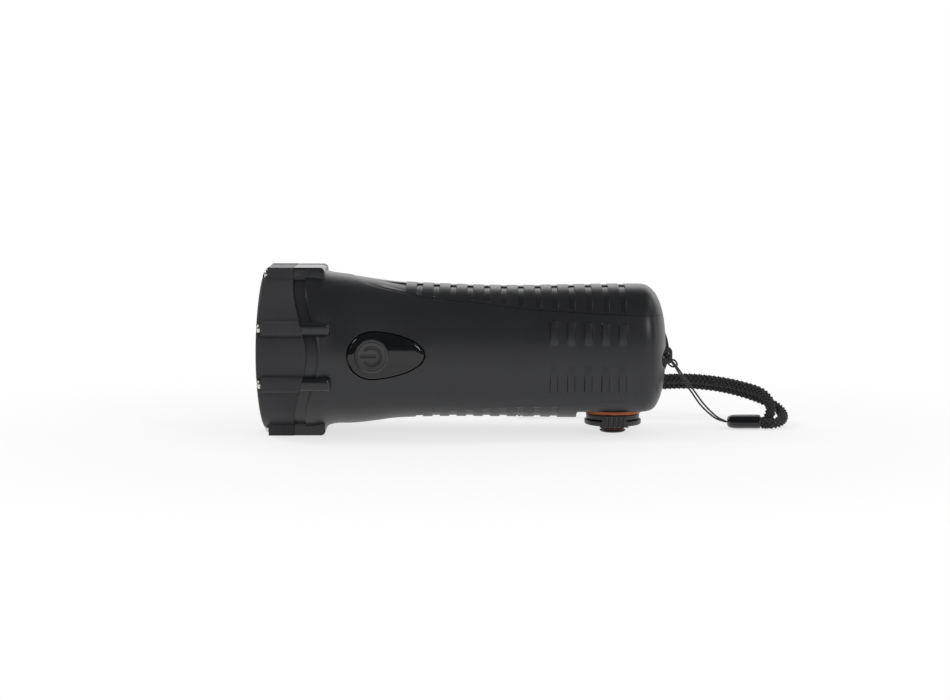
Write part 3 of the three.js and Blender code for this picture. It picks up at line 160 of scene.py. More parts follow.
# Angles of a whole turn, without the last, and of a quarter
def fullTurn(count):
    return np.linspace(0, 2 * np.pi, count, endpoint=False)


def quarter(count):
    return np.linspace(0, np.pi / 2, count)


# A profile of (radius, place) turned about a line along X, Y or Z through a point
def turnedRings(profile, count, along="Z", centre=crankAxis):
    radius, place = np.asarray(profile, float).T[..., None]
    c, s = radius * np.cos(fullTurn(count)), radius * np.sin(fullTurn(count))
    return pointsAt(*{"X": (place, c, s), "Y": (s, place, c), "Z": (c, s, place)}[along]) + centre


def turned(name, profile, count, *line):
    return tubeSolid(name, turnedRings(profile, count, *line))


def turnedRing(name, profile, count, *line):
    return ringSolid(name, turnedRings(profile, count, *line))


# A closed outline in two axes carried straight along the third
def prism(name, outline, low, high, along):
    a, b = np.asarray(outline, float).T
    ends = [{"X": (level, a, b), "Y": (a, level, b), "Z": (a, b, level)}[along] for level in (low, high)]
    return tubeSolid(name, np.array([pointsAt(*end) for end in ends]))


def block(name, low, high):
    (x0, y0, z0), (x1, y1, z1) = low, high
    return prism(name, [(x0, y0), (x1, y0), (x1, y1), (x0, y1)], z0, z1, "Z")


def useUp(piece):
    mesh = piece.data
    bpy.data.objects.remove(piece)
    bpy.data.meshes.remove(mesh)


# Joins, cuts or trims a piece with others, which are used up
def carve(piece, operation, *tools):
    for tool in tools:
        step = piece.modifiers.new("carve", "BOOLEAN")
        step.operation, step.object, step.solver = operation, tool, "MANIFOLD"
        bpy.context.view_layer.update()
        solid = piece.evaluated_get(bpy.context.evaluated_depsgraph_get())
        mesh = bpy.data.meshes.new_from_object(solid)
        piece.modifiers.clear()
        old, piece.data = piece.data, mesh
        bpy.data.meshes.remove(old)
        useUp(tool)
    return piece


def join(piece, *tools):
    return carve(piece, "UNION", *tools)


def cut(piece, *tools):
    return carve(piece, "DIFFERENCE", *tools)


def trim(piece, *tools):
    return carve(piece, "INTERSECT", *tools)


# Lays further meshes into a piece as they are
def lay(piece, *others):
    work = bmesh.new()
    work.from_mesh(piece.data)
    for other in others:
        work.from_mesh(other.data)
        useUp(other)
    work.to_mesh(piece.data)
    work.free()
    return piece


def softStep(value):
    value = np.clip(value, 0, 1)
    return value * value * (3 - 2 * value)


# A power of a value that keeps the value's sign
def signedPower(value, power):
    return np.sign(value) * np.abs(value) ** power


# One inside a band of a width around a place and nought outside, with soft edges
def softBand(value, middle, width, soft):
    return softStep((width / 2 + soft / 2 - np.abs(value - middle)) / soft)


# Cubic curve from a to b by way of their slopes
def cubic(u, a, slopeA, b, slopeB):
    bend = (2 * u**3 - 3 * u**2 + 1) * a + (u**3 - 2 * u**2 + u) * slopeA
    return bend + (3 * u**2 - 2 * u**3) * b + (u**3 - u**2) * slopeB


# Curve through rows of values, slopes from the neighbouring rows
def through(rows, at):
    rows, at = np.asarray(rows, float), np.asarray(at, float)
    i = np.clip(np.searchsorted(rows[:, 0], at), 1, len(rows) - 1)
    a, b = rows[i - 1], rows[i]
    before, after = rows[np.maximum(i - 2, 0)], rows[np.minimum(i + 1, len(rows) - 1)]
    run = b[..., :1] - a[..., :1]
    slopeA = (b - before) / (b[..., :1] - before[..., :1]) * run
    slopeB = (after - a) / (after[..., :1] - a[..., :1]) * run
    return cubic((at[..., None] - a[..., :1]) / run, a, slopeA, b, slopeB)[..., 1:]


# Points of a centripetal curve through the route's points, as the CAD draws it
def routeCurve(route, count):
    p = np.asarray(route, float)
    p = np.concatenate([[2 * p[0] - p[1]], p, [2 * p[-1] - p[-2]]])
    at = np.linspace(0, len(route) - 1, count)
    i = np.minimum(at.astype(int), len(route) - 2)
    a, b, c, d = (p[i + k] for k in range(4))
    t0, t1, t2 = (np.sqrt(np.linalg.norm(q - o, axis=1))[:, None] for o, q in ((a, b), (b, c), (c, d)))
    slopeB = ((b - a) / t0 - (c - a) / (t0 + t1) + (c - b) / t1) * t1
    slopeC = ((c - b) / t1 - (d - b) / (t1 + t2) + (d - c) / t2) * t1
    return cubic((at - i)[:, None], b, slopeB, c, slopeC)


# Evenly spaced points along a line
def evenly(line, count):
    run = np.concatenate([[0], np.cumsum(np.linalg.norm(np.diff(line, axis=0), axis=1))])
    at = np.linspace(0, run[-1], count)
    return np.stack([np.interp(at, run, line[:, k]) for k in range(3)], axis=-1), run[-1]


# Two directions across a line at each of its points, carried along without twist
def acrossLine(line):
    along = np.gradient(line, axis=0)
    along /= np.linalg.norm(along, axis=1)[:, None]
    side = np.cross(along[0], (0, 0, 1.0))
    sides = [side / np.linalg.norm(side)]
    for step in along[1:]:
        side = sides[-1] - step * np.dot(sides[-1], step)
        sides.append(side / np.linalg.norm(side))
    sides = np.array(sides)
    return sides, np.cross(along, sides)


# Gives a tube its own map: once round is one unit, and along it runs in diameters
def tubeMap(piece, columns, rows, lengthUnits):
    mesh = piece.data

    def read(owner, key):
        values = np.zeros(len(owner), int)
        owner.foreach_get(key, values)
        return values

    corner = read(mesh.loops, "vertex_index")
    start, total = read(mesh.polygons, "loop_start"), read(mesh.polygons, "loop_total")
    u, v = (corner % columns) / columns, (corner // columns) / (rows - 1) * lengthUnits
    low, high = (np.repeat(ends.reduceat(u, start), total) for ends in (np.minimum, np.maximum))
    u = np.where((high - low > 0.5) & (u < 0.5), u + 1, u)
    layer = mesh.uv_layers.new(name="tubeMap")
    layer.data.foreach_set("uv", np.stack([u, v], axis=-1).ravel())


# Node maths


# A method that adds one Math node
def mathNode(operation, swapped=False):
    def method(self, other=0.0):
        return self.owner.maths(operation, *((other, self) if swapped else (self, other)))

    return method


class Line:
    # A value on its way through the nodes; sums on it add Math nodes
    def __init__(self, owner, socket):
        self.owner, self.socket = owner, socket

    __add__ = __radd__ = mathNode("ADD")
    __sub__, __rsub__ = mathNode("SUBTRACT"), mathNode("SUBTRACT", True)
    __mul__ = __rmul__ = mathNode("MULTIPLY")
    __truediv__, __pow__ = mathNode("DIVIDE"), mathNode("POWER")
    sine, size = mathNode("SINE"), mathNode("ABSOLUTE")

    # Nought below one limit, one above the other, and smooth between
    def ramp(self, low, high):
        smooth = {"interpolation_type": "SMOOTHSTEP"}
        return self.owner.add("MapRange", smooth, {0: self, 1: low, 2: high})


class Nodes:
    # The nodes of a material or of the world, emptied first
    def __init__(self, owner):
        owner.use_nodes = True
        self.nodes, self.links = owner.node_tree.nodes, owner.node_tree.links
        self.nodes.clear()

    def add(self, kind, settings=None, sockets=None, output=0):
        node = self.nodes.new("ShaderNode" + kind)
        for key, value in (settings or {}).items():
            setattr(node, key, value)
        for key, value in (sockets or {}).items():
            self.join(value, node.inputs[key])
        return Line(self, node.outputs[output]) if node.outputs else None

    def maths(self, operation, first, second=0.0):
        return self.add("Math", {"operation": operation}, {0: first, 1: second})

    def join(self, value, socket):
        if isinstance(value, Line):
            self.links.new(value.socket, socket)
        else:
            socket.default_value = value

    def place(self):
        return self.add("TexCoord", output="Object")

    def parts(self, vector):
        return [self.add("SeparateXYZ", None, {0: vector}, k) for k in range(3)]

    # One for rays of the given kinds and nought for others
    def rays(self, *kinds):
        path = self.nodes.new("ShaderNodeLightPath")
        first, *others = (Line(self, path.outputs[f"Is {kind} Ray"]) for kind in kinds)
        for other in others:
            first = self.maths("MAXIMUM", first, other)
        return first


class Finish(Nodes):
    # A material in the making, with its Principled shader's constants set first
    def __init__(self, name, **constants):
        self.material = bpy.data.materials.new(name)
        super().__init__(self.material)
        self.shader = self.nodes.new("ShaderNodeBsdfPrincipled")
        self.add("OutputMaterial", None, {0: Line(self, self.shader.outputs[0])})
        for key, value in constants.items():
            self.shader.inputs[key].default_value = value

    def feed(self, **values):
        for key, value in values.items():
            self.join(value, self.shader.inputs[key.replace("_", " ")])
        return self.material

    # Noise with grains of a size in millimetres
    def grain(self, size, detail, stretch=None):
        vector = self.place()
        if stretch:
            vector = self.add("Mapping", None, {"Vector": vector, "Scale": stretch})
        sockets = {"Vector": vector, "Scale": 1 / (size * mm), "Detail": detail}
        return self.add("TexNoise", None, sockets, "Fac")

    def blend(self, share, first, second):
        first, second = ((*c, 1.0) if isinstance(c, tuple) else c for c in (first, second))
        return self.add("Mix", {"data_type": "RGBA"}, {0: share, 6: first, 7: second}, 2)

    # Bump of a depth in millimetres
    def relief(self, height, depth):
        return self.add("Bump", None, {"Height": height, "Distance": depth * mm, "Strength": 1.0})


# Moulded plastic: two near tones, a fine spark-eroded grain, faint smears in the gloss. Where
# polish, a function of the finish, gives one, it is smooth.
def moulded(name, dark, light, roughness, grain=0.32, depth=0.012, spread=0.10, polish=None, **constants):
    finish = Finish(name, **constants)
    cloud = finish.grain(22, 3)
    fine = finish.grain(grain, 3)
    smear = finish.grain(9, 4, (1, 1, 0.25))
    dull, height = roughness + (smear - 0.5) * spread + (fine - 0.5) * 0.12, fine
    if polish:
        bright = polish(finish)
        dull, height = dull * (1 - bright) + bright * 0.2, fine * (1 - bright)
    return finish.feed(
        Base_Color=finish.blend(cloud.ramp(0.3, 0.7) * 0.7 + fine.ramp(0.35, 0.65) * 0.3, dark, light),
        Roughness=dull,
        Normal=finish.relief(height, depth),
    )


# Metal: bright, with fine drawing marks along one way and a few dull patches
def metal(name, colour, roughness, stretch=(0.08, 1, 1), grain=0.12, depth=0.002):
    finish = Finish(name, Metallic=1.0)
    marks = finish.grain(grain, 2, stretch)
    patches = finish.grain(3.5, 3)
    darker = tuple(0.72 * c for c in colour)
    return finish.feed(
        Base_Color=finish.blend(patches.ramp(0.35, 0.75) * 0.6, colour, darker),
        Roughness=roughness + (patches - 0.5) * 0.16 + (marks - 0.5) * 0.12,
        Normal=finish.relief(marks, depth),
    )


# One on the ribs' rear parts behind the bezel: beyond a radius from the axis and before a place
# along X, each given as the two limits of its soft edge in metres
polished = {"radius": (0.0345, 0.0350), "before": (-0.056, -0.055)}


def ribPolish(finish):
    x, y, z = finish.parts(finish.place())
    up = z - axisZ * mm
    radius = (y * y + up * up) ** 0.5
    return radius.ramp(*polished["radius"]) * (1 - x.ramp(*polished["before"]))


# Clear polycarbonate with faint handling marks
def clearPlastic(name, tint=(0.97, 0.985, 1.0), roughness=0.03):
    finish = Finish(name, IOR=1.585, **{"Transmission Weight": 1.0})
    haze = finish.grain(6, 4)
    scratch = finish.grain(0.3, 2, (1, 0.04, 1))
    return finish.feed(
        Base_Color=finish.blend(haze, tint, tuple(0.97 * c for c in tint)),
        Roughness=roughness + haze.ramp(0.5, 0.9) * 0.04,
        Normal=finish.relief(scratch, 0.0006),
    )


# Braided yarn: each yarn's fibres run along it, with painted shade down in the gaps between yarns
def braid(name, dark, light, turns, pitch, roughness=0.82):
    finish = Finish(name, IOR=1.5, **{"Sheen Weight": 0.25, "Sheen Roughness": 0.5})
    u, v, _ = finish.parts(finish.add("UVMap", {"uv_map": "tubeMap"}))
    right = ((u * turns + v * pitch) * math.pi).sine().size()
    left = ((u * turns - v * pitch) * math.pi).sine().size()
    fuzz = finish.grain(0.16, 3)
    fibre = ((u * (turns * 7) + v * (pitch * 7)) * math.pi).sine() * 0.5 + 0.5
    return finish.feed(
        # Painted shade: the colour falls towards the dark tone where the two sets of yarns part and leave a gap; the
        # fuzz varies it at random
        Base_Color=finish.blend(right * left * 0.6 + fuzz * 0.4, dark, light),
        Roughness=roughness + (fuzz - 0.5) * 0.15,
        Normal=finish.relief(fuzz * 0.7 + fibre * 0.3, 0.05),
    )


charcoalTones = (0.0115, 0.0122, 0.0145), (0.0155, 0.0162, 0.019)
charcoal = moulded("charcoalPlastic", *charcoalTones, 0.37, IOR=1.5)
shellBlack = moulded("housingPlastic", *charcoalTones, 0.37, polish=ribPolish, IOR=1.5)
bezelTones = (0.037, 0.0365, 0.041), (0.044, 0.0435, 0.048)
bezelGrey = moulded("bezelPlastic", *bezelTones, 0.38, 0.26, 0.014, **{"Specular IOR Level": 0.15})
pianoBlack = moulded("glossPlastic", (0.006, 0.0065, 0.008), (0.008, 0.0085, 0.01), 0.1, 0.5, 0.0008, 0.05)
crankGrey = moulded("crankPlastic", (0.026, 0.0265, 0.029), (0.034, 0.0345, 0.037), 0.36, 0.3, 0.008)
# Painted shade: the orange darkened for the cap's ring, which sits in the shade under the cap
shadedOrange = moulded("shadedOrangePlastic", (0.1, 0.018, 0.008), (0.13, 0.024, 0.01), 0.4, 0.35, 0.006)
burntOrange = moulded("orangePlastic", (0.58, 0.125, 0.02), (0.66, 0.155, 0.03), 0.32, 0.35, 0.006)
blackRubber = moulded("sealRubber", (0.012, 0.012, 0.013), (0.018, 0.018, 0.019), 0.75, 0.25, 0.012)
screwSteel = metal("screwSteel", (0.72, 0.7, 0.67), 0.26)
mirrorCoat = metal("mirrorCoat", (0.92, 0.92, 0.93), 0.07, (1, 1, 1), 1.5, 0.0006)
lensClear = clearPlastic("lensPlastic")
diodeClear = clearPlastic("diodeResin", (1.0, 0.97, 0.86), 0.05)
nylon = moulded("gearNylon", (0.72, 0.7, 0.62), (0.8, 0.78, 0.7), 0.42, 0.3, 0.006)
laminate = moulded("boardLaminate", (0.008, 0.09, 0.03), (0.014, 0.13, 0.045), 0.3, 0.5, 0.01)
copperWire = metal("copperWire", (0.72, 0.32, 0.14), 0.28, (1, 1, 12), 0.3, 0.08)
cellSleeve = moulded("cellSleeve", (0.03, 0.13, 0.3), (0.045, 0.17, 0.36), 0.25, 0.6, 0.004)
magnetGrey = metal("magnetGrey", (0.2, 0.2, 0.21), 0.42)
print("materials made")


# Smooths a piece but for edges that turn by more than the angle, and hands it to its body
# and material
def hand(piece, body, slot, material, *nodes, angle=34):
    piece.data.shade_smooth()
    piece.data.set_sharp_from_angle(angle=math.radians(angle))
    piece.data.materials.clear()
    piece.data.materials.append(material)
    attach(piece, body)
    if nodes:
        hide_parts(*nodes)
    return piece


# Lanyard

strap = {"diameter": 4.8, "rings": 1150, "round": 56, "turns": 6, "pitch": 2.2, "relief": 0.4}
thinCord = {"diameter": 0.8, "rings": 420, "round": 16, "turns": 4, "pitch": 1.1, "relief": 0.07}
ferrule = {"nose": 112.8, "length": 14.0, "y": 9.5, "z": 3.1, "halfHeight": 3.0, "halfWidth": 5.3}
cordRoute = [
    (112.4, 8.8, 3.0), (108.1, 7.3, 4.49), (104.4, 6.2, 7.19), (100.6, 5.4, 10.99), (96.9, 4.8, 16.2),
    (93.2, 4.2, 21.38), (89.7, 3.5, 27.19), (87.1, 2.9, 31.02), (85.7, 2.2, 32.5), (85.2, 1.0, 33.0),
    (85.2, -1.0, 33.0), (85.7, -2.2, 32.5), (87.4, -2.6, 30.86), (90.2, -1.3, 27.46), (94.2, 0.9, 21.91),
    (98.2, 2.9, 16.5), (102.0, 5.0, 11.39), (105.4, 7.2, 7.76), (108.8, 9.0, 4.82), (112.4, 10.2, 3.0),
]
strapRoute = [
    (127.3, 12.1, 2.6), (129.4, 12.2, 2.7), (131.8, 14.6, 5.4), (132.4, 18.8, 9.8), (129.4, 25.0, 13.6),
    (121.0, 31.5, 16.0), (110.0, 37.0, 17.6), (97.5, 41.0, 18.2), (85.0, 43.8, 17.3), (72.0, 45.2, 15.0),
    (59.0, 45.6, 11.6), (47.0, 45.3, 7.8), (36.5, 44.6, 4.4), (27.5, 45.2, 2.8), (21.0, 49.2, 2.6),
    (19.6, 55.6, 2.6), (23.0, 61.4, 2.6), (30.0, 64.4, 2.8), (40.0, 64.0, 4.2), (55.0, 61.5, 7.4),
    (71.0, 58.6, 11.0), (86.0, 55.0, 13.6), (99.0, 50.5, 14.6), (111.0, 45.0, 14.2), (122.0, 38.8, 12.4),
    (131.2, 31.8, 9.7), (136.8, 24.0, 6.8), (137.8, 16.2, 4.4), (135.4, 10.0, 3.0), (131.6, 7.0, 2.6),
    (127.3, 6.9, 2.6),
]


# A braided tube: the radius falls where right-hand and left-hand yarns leave a gap between them
def braidedTube(name, node, route, sizes, material):
    line, length = evenly(routeCurve(route, 40 * len(route)), sizes["rings"])
    sideA, sideB = (side[:, None] for side in acrossLine(line))
    turn, lengthUnits = fullTurn(sizes["round"])[:, None], length / sizes["diameter"]
    u = turn / (2 * np.pi) * sizes["turns"]
    v = np.linspace(0, lengthUnits, sizes["rings"])[:, None, None] * sizes["pitch"]
    yarns = np.abs(np.sin(np.pi * (u + v))) * np.abs(np.sin(np.pi * (u - v)))
    radius = sizes["diameter"] / 2 * (1 - sizes["relief"] * (1 - yarns**0.75))
    rings = line[:, None] + radius * (np.cos(turn) * sideA + np.sin(turn) * sideB)
    points = np.concatenate([rings.reshape(-1, 3), line[:1], line[-1:]])
    piece = meshPiece(name, points, *tubeFaces(*rings.shape[:2]))
    tubeMap(piece, sizes["round"], sizes["rings"], lengthUnits)
    hand(tidy(piece, merge=False), "torch", "webbing", material, node, angle=80)
    return piece, line, length


# A capsule from its nose back, hollow at the nose and at the rear where the yarns go in
def makeFerrule():
    rows = np.array([
        (0.07, 0.16), (0.0, 0.18), (0.0, 0.3), (0.01, 0.4), (0.03, 0.54), (0.06, 0.67), (0.1, 0.79), (0.14, 0.87),
        (0.2, 0.94), (0.28, 0.985), (0.36, 1.0), (0.6, 1.0), (0.9, 1.0), (0.97, 0.995), (0.99, 0.97), (1.0, 0.93),
        (1.0, 0.84), (0.95, 0.82),
    ])
    share, turn = rows[:, 1:], fullTurn(80)
    y = ferrule["y"] + ferrule["halfWidth"] * share * np.cos(turn)
    z = ferrule["z"] + ferrule["halfHeight"] * np.sqrt(share) * np.sin(turn)
    piece = tubeSolid("ferruleCrimp", pointsAt(ferrule["nose"] + ferrule["length"] * rows[:, :1], y, z))
    return hand(piece, "torch", "gloss", pianoBlack, "lanyard_ferrule")


# The hitch: two small turns of the thin cord about its strands below the eyelet, each with its
# place, tilt, long and short radius, and the doubled yarn in the eyelet's hole
hitch = {"turns": (((88.8, -0.3, 29.7), -1.0, 1.6, 0.8), ((87.5, 0.3, 29.1), -0.6, 1.5, 0.75)), "thick": 0.38,
         "plug": [(0.6, -1.45), (1.1, -1.3), (1.3, -0.9), (1.3, 0.9), (1.1, 1.3), (0.6, 1.45)],
         "hole": (85.2, 0, 33.0)}


def makeHitch():
    turn, minor = fullTurn(48), fullTurn(12)[:, None]
    loops = []
    for place, tilt, long_, short in hitch["turns"]:
        middle = pointsAt(np.cos(turn) * long_, 0.5 * np.sin(2 * turn), np.sin(turn) * short)
        out = pointsAt(np.cos(turn) * short, 0, np.sin(turn) * long_)
        out /= np.linalg.norm(out, axis=1)[:, None]
        round_ = np.cos(minor) * out[:, None] + np.sin(minor) * np.array([0, 1.0, 0])
        x, y, z = np.moveaxis(middle[:, None] + hitch["thick"] * round_, -1, 0)
        c, s = math.cos(tilt), math.sin(tilt)
        loops.append(ringSolid("loop", pointsAt(x * c - z * s, y, x * s + z * c) + place))
    piece = lay(*loops, turned("plug", hitch["plug"], 24, "Y", hitch["hole"]))
    piece.name = "cordHitch"
    return hand(piece, "torch", "webbing", hitchYarn, angle=80)


strapYarn = braid("strapYarn", (0.002, 0.002, 0.0025), (0.018, 0.018, 0.02), strap["turns"], strap["pitch"])
cordYarn = braid("cordYarn", (0.007, 0.007, 0.008), (0.02, 0.02, 0.022), thinCord["turns"], thinCord["pitch"], 0.6)
hitchYarn = moulded("hitchYarn", (0.008, 0.008, 0.009), (0.02, 0.02, 0.022), 0.7, 0.2, 0.03)
ferrulePiece = makeFerrule()
hitchPiece = makeHitch()
strapPiece, strapLine, strapLength = braidedTube("strapBraid", "wrist_strap", strapRoute, strap, strapYarn)
cordPiece, cordLine, cordLength = braidedTube("cordBraid", "lanyard_cord", cordRoute, thinCord, cordYarn)
print("lanyard laid", round(strapLength), round(cordLength))


# Body skin

# Along the half length: height above, depth below and half width of the section, squareness
bodyRows = [
    (-0.9, 1, 1, 1, 2), (-0.729, 1, 1, 1, 2), (-0.649, 0.956, 0.931, 0.955, 2.03),
    (-0.552, 0.924, 0.92, 0.918, 2.08), (-0.454, 0.884, 0.892, 0.876, 2.14),
    (-0.3565, 0.853, 0.857, 0.838, 2.2), (-0.2585, 0.838, 0.843, 0.806, 2.27),
    (-0.112, 0.818, 0.834, 0.776, 2.35), (0.133, 0.8, 0.834, 0.759, 2.4), (0.329, 0.8, 0.838, 0.756, 2.4),
    (0.476, 0.808, 0.845, 0.758, 2.4), (0.7175, 0.817, 0.842, 0.76, 2.4), (0.82, 0.817, 0.838, 0.757, 2.4),
]
topSeamRows = [
    (-0.6, 0.99), (-0.5535, 0.907), (-0.428, 0.8), (-0.273, 0.718), (-0.126, 0.657), (0.042, 0.62),
    (0.261, 0.555), (0.52, 0.51), (0.755, 0.48), (0.999, 0.465),
]
underSeamRows = [
    (-0.47, 0.95), (-0.37, 0.835), (-0.2, 0.74), (0.114, 0.665), (0.35, 0.64), (0.478, 0.635), (0.62, 0.6),
    (0.8, 0.58), (0.999, 0.585),
]
# How far the housing keeps back from the two split lines, the corners round the skins' rings and
# a way out from the axis past all of the body
seamGap, underGap, skinColumns, beyond = 0.12, 0.05, 320, 45.0
bezelSeam = {"back": 14.4, "rise": 6.5, "shape": 2.4, "band": 5.0, "bandDepth": 0.8, "gap": 0.1}
seamStrip = {"from": -0.545, "to": 0.62, "width": 0.85, "fall": 0.27, "narrowing": 0.75, "proud": 0.16,
             "sunk": 0.06, "deep": 1.1}
bandStrip = {"heights": ((15.0, 27.5), (-8.4, 8.4), (-27.5, -15.0)),
             "corners": ((-0.1, -0.42), (0.45, 0.07), (1.5, -0.06), (1.2, -1.2))}
ribs = {
    "offset": 11.6, "width": 6.4, "rearWidth": 5.2, "root": 6.4, "edge": 0.6, "sideEdge": 1.7, "front": 2.2,
    "back": 1.4, "rear": 27.6, "sideRear": 31.1, "rearRound": 2.0, "sideRound": 0.8, "padSink": 0.15,
}
screws = {"inset": 3.0, "notch": 2.5, "hole": 1.4, "shank": 1.1, "tip": 0.4, "length": 22.0, "crossLong": 1.2,
          "crossWide": 0.36, "crossDeep": 0.55, "head": [(0, 1.3), (1.35, 1.22), (1.72, 0.95), (1.9, 0.6)]}
topGrooves = {
    "front": 67.6, "tail": 22.4, "count": 13, "width": 2.5, "depth": 0.9, "shallow": 0.8, "wideFront": 49.7,
    "wideWidth": 12.0, "land": 1.0, "soft": 0.34, "spine": 3.2, "spineSunk": 0.25, "sunk": 0.12, "frontSunk": 0.2,
    "frontX": -50.0, "frontRun": 45.0,
}
underGrooves = {"front": 67.3, "last": 36.7, "count": 9, "width": 3.0, "depth": 0.5, "land": 1.0, "soft": 0.34}
bars = {"first": 36.3, "pitch": 7.18, "width": 3.5, "topFirst": 14.4, "topLast": 13.0, "lowEnd": 16.0,
        "fade": 4.5, "proud": 1.0, "soft": 0.45, "end": 0.6, "bend": 0.6, "count": 5}
recess = {"stepX": 46.3, "round": 1.0, "planeZ": 10.1, "soft": 0.7, "tailSoft": 1.2, "tailX": 72.0,
          "tailRun": 10.0, "well": 11.0}
eyelet = {"x": 85.2, "z": 33.0, "radius": 2.6, "stretch": 1.25, "bore": 1.4, "half": 1.5, "scoop": 6.0,
          "scoopWidth": 18.0, "round": 0.45, "rootX": 77.0, "backX": 86.0, "backHalf": 12.0, "backHigh": 7.5}
fin = {"half": 0.6, "footX": 83.4, "bulgeX": 89.4, "low": 24.0, "high": 45.5, "round": 0.3}
ribPlaces = [(q * math.pi / 2, side * ribs["offset"], q % 2 == 0) for q in range(4) for side in (-1, 1)]


# Height above and depth below the axis, half width and squareness at places along X
def section(x):
    up, down, side, power = np.moveaxis(through(bodyRows, x / halfLength), -1, 0)
    return up * headRadius, down * headRadius, side * headRadius, power


# Superellipse rings: across is cos to the power 2/p times the half width, high is sin the same
# way times the height. Each point is lifted along the ring's own outward direction.
def skinRings(x, turn, share, inset=0.0, lift=None):
    x, share = x[:, None], share[:, None]
    up, down, side, power = section(np.minimum(x, torch["domeX"]))
    c, s = np.cos(turn), np.sin(turn)
    reach = np.where(s > 0, up, down)
    y = signedPower(c, 2 / power) * (side - inset) * share
    z = signedPower(s, 2 / power) * (reach - inset) * share
    x = np.broadcast_to(x, y.shape)
    if lift:
        outY, outZ = signedPower(c, 2 - 2 / power) / side, signedPower(s, 2 - 2 / power) / reach
        height = lift(x, y, z) / np.hypot(outY, outZ)
        y, z = y + height * outY, z + height * outZ
    return pointsAt(x, y, z + axisZ)


# The dome at the tail: place is sine and share is cosine of one angle, to the power 2/n
def domeRows(inset, count=22):
    angle, power = quarter(count + 1)[1:], 2 / torch["domePower"]
    reach = torch["poleX"] - torch["domeX"] - inset
    return torch["domeX"] + reach * np.sin(angle) ** power, np.cos(angle).clip(0) ** power


def skinSolid(name, rows, columns, inset=0.0, lift=None, shape=None):
    rows = np.unique(np.round(rows[rows < torch["domeX"]], 3))
    domeX, domeShare = domeRows(inset)
    x = np.concatenate([rows, [torch["domeX"]], domeX])
    share = np.concatenate([np.ones(len(rows) + 1), domeShare])
    rings = skinRings(x, fullTurn(columns) + 1e-4, share, inset, lift)
    if shape:
        rings[..., 2] = shape(rings[..., 0], rings[..., 2])
    return tubeSolid(name, rings)


# Rows with closer ones at each edge of a feature
def rowsWith(step, edges, soft, start=-79.0):
    base = np.arange(start, torch["domeX"], step)
    near = (np.array(edges)[:, None] + np.linspace(-0.75, 0.75, 5) * soft).ravel()
    far = np.abs(base[:, None] - near).min(axis=1) > soft * 0.5
    return np.concatenate([base[far], near])


def bandEdges(middles, width):
    return np.concatenate([np.array(middles) - width / 2, np.array(middles) + width / 2])


# The deepest of some parallel grooves at places along X, as a share of their depth
def grooveShare(x, middles, grooves):
    return np.max([softBand(x, middle, grooves["width"], grooves["soft"]) for middle in middles], axis=0)


# Height of a split line from the axis
def seamZ(rows, x):
    return through(rows, np.maximum(x / halfLength, rows[0][0]))[..., 0] * headRadius


# All above the top cover's split line, or below the other's, carried across the body
def beyondSeam(name, rows, sign, offset):
    at = np.linspace(rows[0][0], rows[-1][0], 90)
    edge = axisZ + sign * (through(rows, at)[:, 0] * headRadius + offset)
    x = at * halfLength
    x, edge = np.concatenate([[x[0] - 2], x, [x[-1] + 4]]), np.concatenate([[edge[0] + 2 * sign], edge, edge[-1:]])
    far = axisZ + sign * beyond
    corners = (-beyond, edge), (beyond, edge), (beyond, far), (-beyond, far)
    return strip(name, *(pointsAt(x, y, z) for y, z in corners))


# The bezel's seam lies further back at the sides: rise times a power of the cosine of the height
def bezelSeamX(height):
    across = np.cos(np.pi * np.minimum(np.abs(height), headRadius) / (2 * headRadius)).clip(0)
    return -halfLength + bezelSeam["back"] + bezelSeam["rise"] * across ** bezelSeam["shape"]


# All before the bezel's seam
def beforeSeam(name, offset):
    height = np.linspace(-headReach - 1.5, headReach + 1.5, 121)
    seam, front = bezelSeamX(height) + offset, -halfLength - 4
    corners = (front, -beyond), (seam, -beyond), (seam, beyond), (front, beyond)
    return strip(name, *(pointsAt(x, y, height + axisZ) for x, y in corners))


def cavitySolid(name, shape=None):
    return skinSolid(name, np.arange(-81.0, torch["domeX"], 4.0), 96, wall, shape=shape)


def spun(rings, turn):
    x, y, z = np.moveaxis(rings, -1, 0)
    c, s = math.cos(turn), math.sin(turn)
    return pointsAt(x, y * c - z * s, y * s + z * c)


def aboutAxis(rings, turn):
    return spun(rings - np.array(headAxis), turn) + headAxis


# How far a rounded end of a run has fallen at places along it
def roundedEnd(x, end, run):
    u = np.clip((x - (end - run)) / run, 0, 1)
    return run * (1 - np.sqrt(1 - u**2 * 0.98))


# A rib: a flat face with rounded long edges, carried along X; its rear end may be rounded
def ribSolid(name, place, width, fromX, toX, roundEnd, sink=0.0):
    turn, across, upright = place
    edge, foot, run = ribs["edge" if upright else "sideEdge"], headRadius - ribs["root"], ribs["rearRound"]
    x, drop, shrink = np.array([fromX, toX]), np.zeros(2), np.zeros(2)
    if roundEnd:
        x = np.append(fromX, toX - run + run * np.sin(np.linspace(0, 1, 9) * np.pi / 2))
        drop, shrink = roundedEnd(x, toX, run), roundedEnd(x, toX, ribs["sideRound"])
    half, top = (width / 2 - shrink)[:, None], (headReach - sink - drop)[:, None]
    inY, inZ = edge * np.cos(quarter(8)), edge * np.sin(quarter(8))
    foot = np.full(half.shape, foot)
    y = np.concatenate([half, half - edge + inY, edge - half - inZ, -half], axis=1)
    z = np.concatenate([foot, top - edge + inZ, top - edge + inY, foot], axis=1)
    return tubeSolid(name, aboutAxis(pointsAt(x[:, None], y + across, z + axisZ), turn))


# The flat lands between the two ribs of the top pair and of the bottom pair
def padSolids(fromX, toX, roundEnd):
    places = (0, 0.0, True), (math.pi, 0.0, True)
    return [ribSolid("pad", place, 2 * ribs["offset"], fromX, toX, roundEnd, ribs["padSink"]) for place in places]


